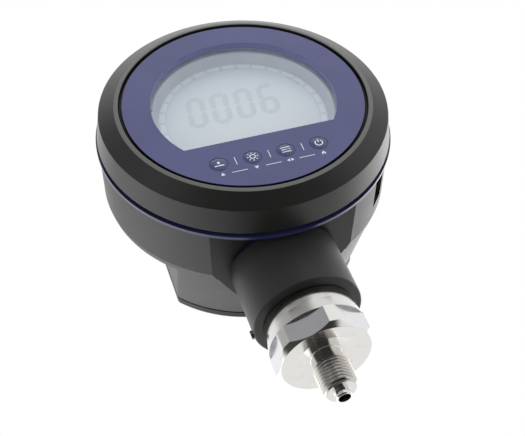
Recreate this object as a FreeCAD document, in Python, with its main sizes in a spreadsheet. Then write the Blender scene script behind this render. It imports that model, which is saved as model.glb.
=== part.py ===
import FreeCAD, Part
import math
import os
import re
import Sketcher

# A digital pressure gauge, in millimetres.
# The neck axis is Z, the origin lies on it at the front face of the spanner flats,
# the case axis runs along Y above the neck, and the display looks towards -Y.

SIZES = {
    # case: height of its axis over the flats, and the clearance of parts that are only slid together
    "case_height": 94.8,
    "fit_gap": 0.1,
    "run_gap": 0.3,
    # steel connection: pressure port, centring nose and thread
    "port_radius": 2.2,
    "nose_radius": 2.8,
    "nose_length": 2.6,
    "nose_edge": 0.4,
    "thread_radius": 6.579,
    "thread_length": 14.1,
    "thread_chamfer": 1.1,
    # steel connection: spanner flats on a round flange, dished at the front
    "dish_radius": 11.3,
    "dish_floor_radius": 9.4,
    "dish_depth": 1.1,
    "flange_radius": 18.2,
    "flange_face_radius": 16.5,
    "flange_chamfer": 1.8,
    "flange_length": 8.5,
    "flange_cone_length": 3.0,
    "across_flats": 33.2,
    "flats_turn": 7.5,
    # steel connection: barrel in the collar and spigot above it
    "barrel_radius": 15.8,
    "barrel_length": 33.3,
    "seal_height": 28.2,
    "seal_groove_width": 2.4,
    "seal_groove_depth": 2.0,
    "seal_section_radius": 1.05,
    "spigot_radius": 12.0,
    "spigot_length": 9.7,
    "ring_groove_depth": 0.8,
    "ring_thickness": 1.2,
    "ring_reach": 2.8,
    "ring_opening": 60.0,
    "cell_radius": 7.9,
    "cell_depth": 8.0,
    "cell_pin_radius": 3.0,
    "cell_pin_length": 1.5,
    # swivel stop: screw in the collar, running in a groove of the barrel
    "swivel_reach": 330.0,
    "stop_angle": 167.0,
    "stop_height": 20.6,
    "stop_radius": 1.1,
    "stop_depth": 1.6,
    "stop_head_radius": 1.6,
    "stop_head_sunk": 0.6,
    "stop_head_proud": 0.9,
    "stop_slot_width": 0.7,
    # bush between spigot and case
    "bush_wall": 1.5,
    "bush_length": 4.0,
    "bush_flange_radius": 15.5,
    "bush_flange": 1.0,
    # neck of the cast case
    "neck_bore_radius": 16.2,
    "neck_wall": 2.0,
    "neck_end": 22.4,
    "neck_room_radius": 15.0,
    "neck_room_end": 2.0,
    # cast case: round wall, seam lip and spigot for the bezel
    "case_wall": 3.0,
    "spigot_wall": 2.2,
    "case_back": 0.7,
    "back_wall": 2.0,
    "case_bevel_width": 3.4,
    "case_bevel_height": 8.3,
    "lip_proud": 0.5,
    "lip_back": 22.0,
    "lip_thickness": 1.2,
    "spigot_front": 30.5,
    "case_facet_wall": 2.1,
    "board_ledge": 0.6,
    "post_radius": 3.2,
    "post_edge": 3.9,
    "board_screw_radius": 1.25,
    "board_screw_length": 10.0,
    "board_screw_head": 2.6,
    "board_screw_head_height": 1.6,
    # black rear cover: wall, flat facet round the collar, side slot and battery hump
    "cover_wall": 2.7,
    "cover_draft": 0.4,
    "cover_edge_height": 0.5,
    "cover_back_draft": 0.8,
    "cover_back": 2.5,
    "facet_half_width": 26.8,
    "facet_wall": 1.8,
    "facet_shelf": 2.0,
    "collar_radius": 20.2,
    "collar_end": 18.8,
    "collar_lip_radius": 16.4,
    "collar_round": 0.8,
    "slot_angle": 49.5,
    "slot_width": 8.0,
    "slot_end": 6.5,
    "hump_half_width": 36.2,
    "hump_inset": 0.2,
    "hump_top": 10.0,
    "hump_back": 29.0,
    "hump_foot_draw": 7.6,
    "hump_side_draw": 1.6,
    "hump_corner": 8.0,
    "hump_foot_corner": 2.5,
    # batteries in the hump, two cells side by side
    "battery_radius": 7.25,
    "battery_length": 49.2,
    "battery_nub_radius": 2.75,
    "battery_nub_length": 1.0,
    "battery_edge": 0.8,
    "battery_pitch": 15.2,
    "battery_middle": -13.8,
    "battery_room": 0.45,
    "pocket_depth": 17.5,
    "contact_plate": 0.5,
    "contact_width": 9.0,
    "contact_bump": 2.0,
    "contact_bump_radius": 3.2,
    "contact_tip_radius": 1.6,
    # battery lid, its seal and screws
    "lid_thickness": 3.8,
    "lid_edge": 1.0,
    "lid_seam": 0.6,
    "lid_seam_depth": 0.7,
    "lid_seal_width": 1.2,
    "lid_seal_depth": 1.0,
    "lid_seal_margin": 1.0,
    "lid_screw_x": 32.4,
    "lid_screw_low": -27.0,
    "lid_screw_high": 3.0,
    "lid_screw_radius": 1.25,
    "lid_screw_length": 9.0,
    "lid_screw_head": 2.5,
    "lid_screw_head_height": 1.3,
    "cross_width": 0.8,
    "cross_length": 3.0,
    "cross_depth": 0.7,
    # front bezel: inner rim, bevel, sharp edge and side
    "bezel_edge": 34.5,
    "bezel_side_radius": 55.5,
    "bezel_draft": 1.4,
    "bezel_wall": 3.6,
    "bezel_bottom": 24.5,
    "bevel_width": 6.0,
    "rim_width": 1.7,
    "rim_height": 3.8,
    "rim_outer_height": 3.45,
    "bezel_round": 0.35,
    # face: blue plate, carrier, window and seals
    "face_gap": 1.3,
    "overlay_height": 3.3,
    "overlay_thickness": 2.6,
    "window_seat": 2.8,
    "window_chord": -20.1,
    "window_rebate": 1.5,
    "window_thickness": 1.5,
    "carrier_flange": 3.0,
    "carrier_room": 2.9,
    "face_seal_height": 2.0,
    # display stack behind the window, seen through a frame that narrows towards it
    "frame_lip": 0.7,
    "frame_top_chord": -19.6,
    "frame_slope": 2.1,
    "frame_low_chord": -18.4,
    "lcd_depth": 8.3,
    "lcd_thickness": 1.8,
    "lcd_room": 2.0,
    "lcd_chord": -22.5,
    "light_chord": -16.5,
    "strip_half_length": 24.0,
    "strip_width": 3.0,
    "strip_inset": 1.2,
    # circuit board
    "board_room": 3.4,
    "board_front": 23.7,
    "board_thickness": 1.6,
    "board_hole_radius": 1.6,
    "socket_width": 9.0,
    "socket_depth": 5.0,
    "socket_height": 5.0,
    "socket_low": -34.8,
    "lead_radius": 1.1,
    "lead_bend": 4.0,
    "lead_room": 0.35,
    # keys and their switches
    "key_height": -30.5,
    "key_pitch": 12.4,
    "key_radius": 3.15,
    "key_proud": 0.3,
    "key_edge": 0.25,
    "key_flange_radius": 4.0,
    "key_flange": 1.2,
    "key_stem_radius": 1.6,
    "key_travel": 0.6,
    "key_clearance": 0.25,
    "switch_width": 6.0,
    "switch_body": 3.0,
    "switch_plunger_radius": 1.7,
    "switch_plunger_height": 0.8,
}

# Radii about the case axis, tied to the bezel's side by walls and clearances.
BEZEL_EDGE_RADIUS = "(bezel_side_radius - bezel_draft)"
BEZEL_INNER = "(bezel_side_radius - bezel_wall)"
RIM_OUTER = "(%s - bevel_width)" % BEZEL_EDGE_RADIUS
BEZEL_BORE = "(%s - rim_width)" % RIM_OUTER
BEZEL_SEAT = "(%s - run_gap)" % BEZEL_INNER
LIP_RADIUS = "(bezel_side_radius + lip_proud)"
WALL_INNER = "(%s - spigot_wall)" % BEZEL_SEAT
WALL_RADIUS = "(%s + case_wall)" % WALL_INNER
COVER_FRONT_RADIUS = "(%s + fit_gap + cover_wall)" % WALL_RADIUS
COVER_EDGE_RADIUS = "(%s - cover_draft)" % COVER_FRONT_RADIUS
COVER_BACK_RADIUS = "(%s - cover_back_draft)" % COVER_EDGE_RADIUS
FACET_LEVEL = "(-sqrt(%s^2 - facet_half_width^2))" % COVER_EDGE_RADIUS
FACET_INNER = "(%s + facet_wall)" % FACET_LEVEL
CASE_FACET = "(%s + fit_gap)" % FACET_INNER
CASE_FACET_INNER = "(%s + case_facet_wall)" % CASE_FACET
HUMP_RADIUS = "(%s - hump_inset - hump_foot_draw)" % COVER_EDGE_RADIUS
OVERLAY_RADIUS = "(%s - face_gap)" % BEZEL_BORE
CARRIER_FLANGE_RADIUS = "(%s - 2 * fit_gap)" % BEZEL_SEAT
CARRIER_BODY_RADIUS = "(%s - carrier_room)" % WALL_INNER
BOARD_RADIUS = "(%s - board_room)" % WALL_INNER
POST_REACH = "(%s - post_edge)" % BOARD_RADIUS
POST_PLACE = "(%s / sqrt(2))" % POST_REACH
LCD_RADIUS = "(%s - board_screw_head - lcd_room)" % POST_REACH
WINDOW_RADIUS = "(%s - window_seat)" % LCD_RADIUS
FRAME_TOP_RADIUS = "(%s - frame_lip)" % WINDOW_RADIUS
FRAME_LOW_RADIUS = "(%s - frame_slope)" % FRAME_TOP_RADIUS

# Levels and other sizes that follow from the driving ones.
TIP = "(thread_length + nose_length)"
SPIGOT_TOP = "(barrel_length + spigot_length)"
BUSH_SEAT = "(barrel_length + run_gap + bush_flange)"
BUSH_TOP = "(%s + bush_length)" % BUSH_SEAT
BUSH_BORE = "(spigot_radius + run_gap - fit_gap)"
BUSH_RADIUS = "(%s + bush_wall)" % BUSH_BORE
NECK_RADIUS = "(neck_bore_radius + neck_wall)"
RING_LOW = "(%s + run_gap)" % BUSH_TOP
CELL_FLOOR = "(%s - cell_depth)" % SPIGOT_TOP
LEAD_START = "(%s + cell_pin_length + 2 * run_gap)" % SPIGOT_TOP
LEAD_END = "(case_height + socket_low)"
LEAD_LEVEL = "((%s + %s) / 2)" % (LEAD_START, LEAD_END)
NECK_ROOM_TOP = "(%s + lead_radius + lead_room)" % LEAD_LEVEL
NECK_TOP = "(%s + neck_room_end)" % NECK_ROOM_TOP
OVERLAY_TOP = "(bezel_edge + overlay_height)"
CARRIER_TOP = "(%s - overlay_thickness)" % OVERLAY_TOP
CARRIER_STEP = "bezel_edge"
CARRIER_BACK = "(bezel_edge - carrier_flange)"
WINDOW_BACK = "(%s - window_thickness)" % CARRIER_TOP
LCD_FRONT = "(%s - lcd_depth)" % OVERLAY_TOP
LCD_BACK = "(%s - lcd_thickness)" % LCD_FRONT
BOARD_BACK = "(board_front - board_thickness)"
CASE_FLOOR = "(back_wall - case_back)"
ROOM_LEDGE = "(%s - board_ledge)" % BOARD_BACK
FACET_FRONT = "(lip_back - facet_shelf)"
POCKET_HALF = "(battery_length / 2 + battery_nub_length / 2 + contact_bump + contact_plate)"
POCKET_SPAN = "(battery_pitch / 2 + battery_radius + battery_room)"
POCKET_FLOOR = "(hump_back - pocket_depth)"
BATTERY_LEVEL = "((%s + hump_back) / 2)" % POCKET_FLOOR
LID_BACK = "(hump_back + lid_thickness)"
KEY_TOP = "(%s + key_proud)" % OVERLAY_TOP
KEY_FLANGE_TOP = "(%s - fit_gap)" % CARRIER_TOP
KEY_FLANGE_LOW = "(%s - key_flange)" % KEY_FLANGE_TOP
KEY_POCKET = "(%s - key_travel - run_gap)" % KEY_FLANGE_LOW
SWITCH_TOP = "(board_front + switch_body)"
PLUNGER_TOP = "(%s + switch_plunger_height)" % SWITCH_TOP
KEY_STEM_END = "(%s + key_travel + fit_gap)" % PLUNGER_TOP

KEYS = {"key_zero": -1.5, "key_light": -0.5, "key_menu": 0.5, "key_power": 1.5}

doc = FreeCAD.newDocument("pressure_gauge")
sheet = doc.addObject("Spreadsheet::Sheet", "Sizes")
subparts = []


def write_sheet():
    """Puts each driving size in a cell of its own, with its name as the cell's alias."""
    for row, (alias, value) in enumerate(SIZES.items(), start=1):
        sheet.set("A%d" % row, alias)
        sheet.set("B%d" % row, str(value))
        sheet.setAlias("B%d" % row, alias)
    doc.recompute()


def tied(text):
    """The expression with each size's name pointed at its cell."""
    return re.sub(r"[a-z][a-z_]*", lambda word: "Sizes." + word[0] if word[0] in SIZES else word[0], text)


def size(text):
    """The present value of an expression."""
    return float(doc.getObject("Sizes").evalExpression(tied(text)))


def new_body(label, faces_front=False):
    """A body in the neck's frame, or in the face's frame: x right, y up, z out of the display."""
    body = doc.addObject("PartDesign::Body", label)
    body.Label = label
    if faces_front:
        body.Placement = FreeCAD.Placement(FreeCAD.Vector(), FreeCAD.Rotation(FreeCAD.Vector(1, 0, 0), 90))
        body.setExpression("Placement.Base.z", tied("case_height"))
    subparts.append(body)
    return body


def new_sketch(body, plane, level="0", turn="0", about=(0, 0, 1)):
    """A sketch on one of the body's own planes, lifted to a level and turned about one of its axes."""
    sketch = body.newObject("Sketcher::SketchObject", body.Name + "_outline")
    support = [item for item in body.Origin.OriginFeatures if item.Role == plane][0]
    sketch.AttachmentSupport = (support, [""])
    sketch.MapMode = "FlatFace"
    turned = FreeCAD.Rotation(FreeCAD.Vector(*about), size(turn))
    sketch.AttachmentOffset = FreeCAD.Placement(FreeCAD.Vector(0, 0, size(level)), turned)
    if level != "0":
        sketch.setExpression("AttachmentOffset.Base.z", tied(level))
    if turn != "0":
        sketch.setExpression("AttachmentOffset.Rotation.Angle", tied(turn))
    return sketch


def limit(sketch, kind, value, *places):
    """A dimension of the sketch, bound to an expression."""
    index = sketch.addConstraint(Sketcher.Constraint(kind, *places, size(value)))
    sketch.setExpression("Constraints[%d]" % index, tied(value))


def hold(sketch, curve, end, x, y):
    """Holds an end of a curve, or its centre, at a place given by two expressions."""
    if x == "0":
        sketch.addConstraint(Sketcher.Constraint("PointOnObject", curve, end, -2))
    else:
        limit(sketch, "DistanceX", x, -1, 1, curve, end)
    if y == "0":
        sketch.addConstraint(Sketcher.Constraint("PointOnObject", curve, end, -1))
    else:
        limit(sketch, "DistanceY", y, -1, 1, curve, end)


def polygon(sketch, points):
    """A closed straight outline through points given as pairs of expressions."""
    corners = [FreeCAD.Vector(size(x), size(y), 0) for x, y in points]
    first = sketch.GeometryCount
    for corner, following in zip(corners, corners[1:] + corners[:1]):
        sketch.addGeometry(Part.LineSegment(corner, following))
    for index in range(len(points)):
        following = first + (index + 1) % len(points)
        sketch.addConstraint(Sketcher.Constraint("Coincident", first + index, 2, following, 1))
    for index, (x, y) in enumerate(points):
        hold(sketch, first + index, 1, x, y)


def rectangle(sketch, low_x, low_y, high_x, high_y):
    """A closed rectangle between two corners."""
    polygon(sketch, [(low_x, low_y), (high_x, low_y), (high_x, high_y), (low_x, high_y)])


def circle(sketch, radius, x="0", y="0"):
    """A circle with its centre at a place given by two expressions."""
    centre = FreeCAD.Vector(size(x), size(y), 0)
    curve = sketch.addGeometry(Part.Circle(centre, FreeCAD.Vector(0, 0, 1), size(radius)))
    limit(sketch, "Radius", radius, curve)
    hold(sketch, curve, 3, x, y)


def centred_arc(sketch, radius, start, end):
    """An arc about the sketch's origin, from a start angle to an end angle in radians."""
    ring = Part.Circle(FreeCAD.Vector(), FreeCAD.Vector(0, 0, 1), size(radius))
    curve = sketch.addGeometry(Part.ArcOfCircle(ring, start, end))
    sketch.addConstraint(Sketcher.Constraint("Coincident", curve, 3, -1, 1))
    limit(sketch, "Radius", radius, curve)
    return curve


def segment(sketch, radius, chord):
    """The part of a circle that lies above a level chord."""
    start = math.asin(size(chord) / size(radius))
    curve = centred_arc(sketch, radius, start, math.pi - start)
    half = size(radius) * math.cos(start)
    ends = [FreeCAD.Vector(side * half, size(chord), 0) for side in (-1, 1)]
    line = sketch.addGeometry(Part.LineSegment(*ends))
    sketch.addConstraint(Sketcher.Constraint("Coincident", curve, 2, line, 1))
    sketch.addConstraint(Sketcher.Constraint("Coincident", line, 2, curve, 1))
    sketch.addConstraint(Sketcher.Constraint("Horizontal", line))
    limit(sketch, "DistanceY", chord, -1, 1, line, 1)


def hump_outline(sketch, foot_inset="0", side_inset="0"):
    """The hump's outline: level top, upright sides, and a foot that follows the round case."""
    radius = "(%s - %s)" % (HUMP_RADIUS, foot_inset)
    half = "(hump_half_width - %s)" % side_inset
    top = "(hump_top - %s)" % side_inset
    rise = math.acos(size(half) / size(radius))
    foot = centred_arc(sketch, radius, math.pi + rise, 2 * math.pi - rise)
    low = -size(radius) * math.sin(rise)
    corners = [(1, low), (1, size(top)), (-1, size(top)), (-1, low)]
    points = [FreeCAD.Vector(side * size(half), y, 0) for side, y in corners]
    lines = [sketch.addGeometry(Part.LineSegment(*pair)) for pair in zip(points, points[1:])]
    chain = [foot] + lines
    for curve, following in zip(chain, chain[1:] + chain[:1]):
        sketch.addConstraint(Sketcher.Constraint("Coincident", curve, 2, following, 1))
    hold(sketch, lines[1], 1, half, top)
    hold(sketch, lines[2], 1, "-" + half, top)
    for upright in (lines[0], lines[2]):
        sketch.addConstraint(Sketcher.Constraint("Vertical", upright))


def add_feature(body, kind, sketch, **settings):
    """A feature of the body on a sketch; text settings are expressions."""
    feature = body.newObject("PartDesign::" + kind, body.Name + "_" + kind.lower())
    feature.Profile = sketch
    for name, value in settings.items():
        if isinstance(value, str):
            feature.setExpression(name, tied(value))
        else:
            setattr(feature, name, value)
    sketch.Visibility = False
    doc.recompute()
    return feature


def pad(body, sketch, length, backwards=False):
    """Material along the sketch's normal, or against it."""
    return add_feature(body, "Pad", sketch, Length=length, Reversed=backwards)


def pocket(body, sketch, length, forwards=False):
    """A cut against the sketch's normal, or along it."""
    before = body.Shape.Volume
    feature = add_feature(body, "Pocket", sketch, Length=length, Reversed=forwards)
    assert body.Shape.Volume < before, feature.Name + " cuts nothing"
    return feature


def turn(body, points, plane="XZ_Plane"):
    """Material turned about the upright axis of the plane."""
    sketch = new_sketch(body, plane)
    polygon(sketch, points)
    return add_feature(body, "Revolution", sketch, ReferenceAxis=(sketch, ["V_Axis"]), Angle=360.0)


def turned_cut(body, points, plane="XZ_Plane"):
    """A cut turned about the upright axis of the plane."""
    before = body.Shape.Volume
    sketch = new_sketch(body, plane)
    polygon(sketch, points)
    feature = add_feature(body, "Groove", sketch, ReferenceAxis=(sketch, ["V_Axis"]), Angle=360.0)
    assert body.Shape.Volume < before, feature.Name + " cuts nothing"
    return feature


def finish_edges(body, kind, setting, amount, wanted):
    """Rounds or chamfers those edges of the body that a test picks."""
    base = body.Tip
    names = ["Edge%d" % index for index, edge in enumerate(base.Shape.Edges, start=1) if wanted(edge)]
    assert names, body.Name + " has no such edge"
    feature = body.newObject("PartDesign::" + kind, body.Name + "_" + kind.lower())
    feature.Base = (base, names)
    feature.setExpression(setting, tied(amount))
    doc.recompute()


def round_edges(body, radius, wanted):
    """Rounds those edges of the body that a test picks."""
    finish_edges(body, "Fillet", "Radius", radius, wanted)


def is_ring(radius, level):
    """A test for the full circle of a radius at a level of the body's Z axis."""
    def test(edge):
        curve = edge.Curve
        if not isinstance(curve, Part.Circle) or abs(curve.Axis.z) < 0.999:
            return False
        near = abs(curve.Radius - size(radius)) < 0.001
        return near and abs(curve.Center.z - size(level)) < 0.001
    return test


def tube_points(inner, outer, low, high):
    """Corners of a plain ring's section."""
    return [(inner, low), (outer, low), (outer, high), (inner, high)]


def neck_level(height):
    """A height over the flats as a level in the face's frame."""
    return "(%s - case_height)" % height


def make_process_fitting():
    """The turned steel connection, with its flats, seal grooves and stop groove."""
    body = new_body("process_fitting")
    groove_low = "seal_height - seal_groove_width / 2"
    groove_high = "seal_height + seal_groove_width / 2"
    seal_floor = "barrel_radius - seal_groove_depth"
    ring_floor = "spigot_radius - ring_groove_depth"
    ring_high = "%s + ring_thickness + fit_gap" % RING_LOW
    turn(body, [
        ("port_radius", "-" + TIP),
        ("nose_radius - nose_edge", "-" + TIP),
        ("nose_radius", "nose_edge - " + TIP),
        ("nose_radius", "-thread_length"),
        ("thread_radius - thread_chamfer", "-thread_length"),
        ("thread_radius", "thread_chamfer - thread_length"),
        ("thread_radius", "dish_depth"),
        ("dish_floor_radius", "dish_depth"),
        ("dish_radius", "0"),
        ("flange_face_radius", "0"),
        ("flange_radius", "flange_chamfer"),
        ("flange_radius", "flange_length"),
        ("barrel_radius", "flange_length + flange_cone_length"),
        ("barrel_radius", groove_low),
        (seal_floor, groove_low),
        (seal_floor, groove_high),
        ("barrel_radius", groove_high),
        ("barrel_radius", "barrel_length"),
        ("spigot_radius", "barrel_length"),
        ("spigot_radius", RING_LOW),
        (ring_floor, RING_LOW),
        (ring_floor, ring_high),
        ("spigot_radius", ring_high),
        ("spigot_radius", SPIGOT_TOP),
        ("cell_radius + fit_gap", SPIGOT_TOP),
        ("cell_radius + fit_gap", CELL_FLOOR),
        ("port_radius", CELL_FLOOR),
    ])
    flats = new_sketch(body, "XY_Plane", turn="flats_turn")
    circle(flats, "flange_radius * 2")
    corner = "across_flats / 2 / cos(30)"
    polygon(flats, [("%s * cos(%d)" % (corner, 30 + 60 * side), "%s * sin(%d)" % (corner, 30 + 60 * side))
                    for side in range(6)])
    pocket(body, flats, "flange_length + flange_cone_length", forwards=True)
    before = body.Shape.Volume
    half_width = "(stop_radius + run_gap)"
    groove = new_sketch(body, "XZ_Plane", turn="stop_angle", about=(0, 1, 0))
    rectangle(groove, "barrel_radius - stop_depth", "stop_height - " + half_width,
              "barrel_radius + stop_depth", "stop_height + " + half_width)
    add_feature(body, "Groove", groove, ReferenceAxis=(groove, ["V_Axis"]), Midplane=True,
                Angle="swivel_reach * 1 deg + 2 * asin(%s / (barrel_radius - stop_depth))" % half_width)
    assert body.Shape.Volume < before, "the stop groove cuts nothing"


def make_sensor_cell():
    """The pressure capsule in the top of the connection."""
    body = new_body("sensor_cell")
    head = "(%s + run_gap)" % SPIGOT_TOP
    turn(body, [
        ("0", CELL_FLOOR),
        ("cell_radius", CELL_FLOOR),
        ("cell_radius", head),
        ("cell_pin_radius", head),
        ("cell_pin_radius", head + " + cell_pin_length"),
        ("0", head + " + cell_pin_length"),
    ])


def make_stem_o_ring():
    """The seal in the barrel's groove."""
    ring = doc.addObject("Part::Torus", "stem_o_ring")
    ring.Label = "stem_o_ring"
    ring.setExpression("Radius1", tied("barrel_radius - seal_groove_depth + seal_section_radius + fit_gap"))
    ring.setExpression("Radius2", tied("seal_section_radius"))
    ring.setExpression("Placement.Base.z", tied("seal_height"))
    subparts.append(ring)


def make_retaining_ring():
    """The open spring ring that holds the connection in the case."""
    body = new_body("retaining_ring")
    inner = "spigot_radius - ring_groove_depth + fit_gap / 2"
    outer = "spigot_radius - ring_groove_depth + ring_reach"
    sketch = new_sketch(body, "XZ_Plane")
    rectangle(sketch, inner, RING_LOW + " + fit_gap / 2", outer, RING_LOW + " + fit_gap / 2 + ring_thickness")
    add_feature(body, "Revolution", sketch, ReferenceAxis=(sketch, ["V_Axis"]), Angle="360 - ring_opening")


def make_swivel_bush():
    """The flanged bearing that the spigot turns in."""
    body = new_body("swivel_bush")
    low = "(barrel_length + run_gap)"
    turn(body, [
        (BUSH_BORE, low),
        ("bush_flange_radius", low),
        ("bush_flange_radius", BUSH_SEAT),
        (BUSH_RADIUS, BUSH_SEAT),
        (BUSH_RADIUS, BUSH_TOP),
        (BUSH_BORE, BUSH_TOP),
    ])


def cup_points(gap="0"):
    """Section of the cast case's outer wall from its middle to the lip, widened by a gap."""
    return [
        ("0", "-case_back - " + gap),
        (WALL_RADIUS + " - case_bevel_width + " + gap, "-case_back - " + gap),
        (WALL_RADIUS + " + " + gap, "case_bevel_height - case_back"),
        (WALL_RADIUS + " + " + gap, "lip_back"),
    ]


def make_main_case():
    """The cast case: cup with seam lip, bezel seat and flat facet, neck, and posts for the board."""
    body = new_body("main_case", faces_front=True)
    turn(body, cup_points() + [
        (LIP_RADIUS, "lip_back"),
        (LIP_RADIUS, "lip_back + lip_thickness"),
        (BEZEL_SEAT, "lip_back + lip_thickness"),
        (BEZEL_SEAT, "spigot_front"),
        ("0", "spigot_front"),
    ])
    facet = new_sketch(body, "XY_Plane", level=FACET_FRONT)
    rectangle(facet, "-facet_half_width", "-" + LIP_RADIUS, "facet_half_width", CASE_FACET)
    pocket(body, facet, FACET_FRONT + " + case_back")
    turn(body, tube_points("0", NECK_RADIUS, neck_level("neck_end"), neck_level(NECK_TOP)), "XY_Plane")
    mouth = new_sketch(body, "XY_Plane", level="spigot_front")
    circle(mouth, WALL_INNER)
    pocket(body, mouth, "spigot_front - " + ROOM_LEDGE)
    room = new_sketch(body, "XY_Plane", level=ROOM_LEDGE)
    segment(room, WALL_INNER, CASE_FACET_INNER)
    pocket(body, room, "%s - %s" % (ROOM_LEDGE, CASE_FLOOR))
    turned_cut(body, [
        ("0", neck_level("neck_end")),
        ("neck_bore_radius", neck_level("neck_end")),
        ("neck_bore_radius", neck_level(BUSH_SEAT)),
        (BUSH_RADIUS + " + fit_gap / 2", neck_level(BUSH_SEAT)),
        (BUSH_RADIUS + " + fit_gap / 2", neck_level(BUSH_TOP)),
        ("neck_room_radius", neck_level(BUSH_TOP)),
        ("neck_room_radius", neck_level(NECK_ROOM_TOP)),
        ("0", neck_level(NECK_ROOM_TOP)),
    ], "XY_Plane")
    posts = new_sketch(body, "XY_Plane", level=CASE_FLOOR)
    holes = new_sketch(body, "XY_Plane", level=BOARD_BACK)
    for x, y in corners(POST_PLACE, POST_PLACE):
        circle(posts, "post_radius", x, y)
        circle(holes, "board_screw_radius", x, y)
    pad(body, posts, BOARD_BACK + " - " + CASE_FLOOR)
    pocket(body, holes, "board_screw_length")


def corners(x, y):
    """The four places at plus and minus two sizes."""
    return [(sign_x + x, sign_y + y) for sign_x in ("", "-") for sign_y in ("", "-")]


def cut_stop_hole(body, radius, reach, level="0"):
    """A round hole from the neck axis out through the neck, on the stop screw's line."""
    sketch = new_sketch(body, "YZ_Plane", level=level, turn="stop_angle", about=(1, 0, 0))
    circle(sketch, radius, neck_level("stop_height"))
    pocket(body, sketch, reach, forwards=True)


def make_rear_cover():
    """The black cover: round shell with flat facet and side slot, collar round the neck, battery hump."""
    body = new_body("rear_cover", faces_front=True)
    front = "(lip_back - fit_gap)"
    add_hump(body)
    turn(body, [
        ("0", "-cover_back"),
        (COVER_BACK_RADIUS, "-cover_back"),
        (COVER_EDGE_RADIUS, "cover_edge_height"),
        (COVER_FRONT_RADIUS, front),
        ("0", front),
    ])
    facet = new_sketch(body, "XY_Plane", level=front)
    rectangle(facet, "-" + LIP_RADIUS, "-" + LIP_RADIUS, LIP_RADIUS, FACET_LEVEL)
    pocket(body, facet, front + " + hump_back")
    turn(body, tube_points("0", "collar_radius", neck_level("collar_end"), neck_level(NECK_TOP)),
         "XY_Plane")
    round_edges(body, "collar_round", is_collar_end)
    turned_cut(body, cup_points("fit_gap") + [("0", "lip_back")])
    add_facet_wall(body)
    turned_cut(body, [
        ("0", neck_level("collar_end")),
        ("collar_lip_radius", neck_level("collar_end")),
        ("collar_lip_radius", neck_level("neck_end")),
        (NECK_RADIUS + " + fit_gap", neck_level("neck_end")),
        (NECK_RADIUS + " + fit_gap", neck_level(NECK_TOP)),
        ("0", neck_level(NECK_TOP)),
    ], "XY_Plane")
    cut_battery_room(body)
    slot = new_sketch(body, "XY_Plane", level=front, turn="slot_angle - 90")
    rectangle(slot, WALL_INNER, "-slot_width / 2", LIP_RADIUS, "slot_width / 2")
    pocket(body, slot, front + " - slot_end")
    cut_stop_hole(body, "stop_radius + fit_gap", "collar_radius * 2")
    cut_stop_hole(body, "stop_head_radius + fit_gap", "collar_radius", "collar_radius - stop_head_sunk")


def add_hump(body):
    """The battery hump, drawn in towards the back, with rounded corners."""
    wide = new_sketch(body, "XY_Plane", level="cover_edge_height")
    hump_outline(wide, "(-hump_foot_draw)", "(-hump_side_draw)")
    narrow = new_sketch(body, "XY_Plane", level="-hump_back")
    hump_outline(narrow)
    add_feature(body, "AdditiveLoft", wide, Sections=[narrow], Ruled=True)
    round_edges(body, "hump_corner", lambda edge: runs_back(edge) and edge.CenterOfMass.y > 0)
    round_edges(body, "hump_foot_corner",
                lambda edge: runs_back(edge) and edge.CenterOfMass.y < -size("hump_corner"))


def runs_back(edge):
    """Whether an edge runs from front to back rather than across."""
    low, high = edge.Vertexes[0].Point, edge.Vertexes[-1].Point
    return abs(high.z - low.z) > abs(high.x - low.x) + abs(high.y - low.y)


def add_facet_wall(body):
    """The cover's wall behind the flat facet, between the round parts of the shell."""
    wall = new_sketch(body, "XY_Plane", level=FACET_FRONT + " - fit_gap")
    outer, inner = "(facet_half_width - facet_wall)", "(facet_half_width - facet_wall / 2)"
    polygon(wall, [("-" + outer, FACET_LEVEL), (outer, FACET_LEVEL),
                   (inner, FACET_INNER), ("-" + inner, FACET_INNER)])
    pad(body, wall, FACET_FRONT + " - fit_gap + cover_back", backwards=True)


def is_collar_end(edge):
    """Whether an edge is the outer rim of the collar's end."""
    curve = edge.Curve
    if not isinstance(curve, Part.Circle) or abs(curve.Radius - size("collar_radius")) > 0.001:
        return False
    return abs(curve.Center.y - size(neck_level("collar_end"))) < 0.001


def cut_battery_room(body):
    """The pocket for the cells, the groove for its seal and the lid's screw holes."""
    low = "(battery_middle - %s)" % POCKET_SPAN
    high = "(battery_middle + %s)" % POCKET_SPAN
    room = new_sketch(body, "XY_Plane", level="-hump_back")
    rectangle(room, "-" + POCKET_HALF, low, POCKET_HALF, high)
    pocket(body, room, "hump_back - " + POCKET_FLOOR, forwards=True)
    groove = new_sketch(body, "XY_Plane", level="-hump_back")
    seal_loop(groove, "0")
    pocket(body, groove, "lid_seal_depth", forwards=True)
    holes = new_sketch(body, "XY_Plane", level="-hump_back")
    for x, y in lid_screw_places():
        circle(holes, "lid_screw_radius", x, y)
    pocket(body, holes, "lid_screw_length", forwards=True)


def seal_loop(sketch, inset):
    """The lid seal's outline round the battery pocket, narrowed on each side by an inset."""
    for margin in ("(lid_seal_margin + %s)" % inset, "(lid_seal_margin + lid_seal_width - %s)" % inset):
        half = "(%s + %s)" % (POCKET_HALF, margin)
        span = "(%s + %s)" % (POCKET_SPAN, margin)
        rectangle(sketch, "-" + half, "battery_middle - " + span, half, "battery_middle + " + span)


def lid_screw_places():
    """The places of the lid's screws."""
    return [(side + "lid_screw_x", y) for side in ("", "-") for y in ("lid_screw_low", "lid_screw_high")]


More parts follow.
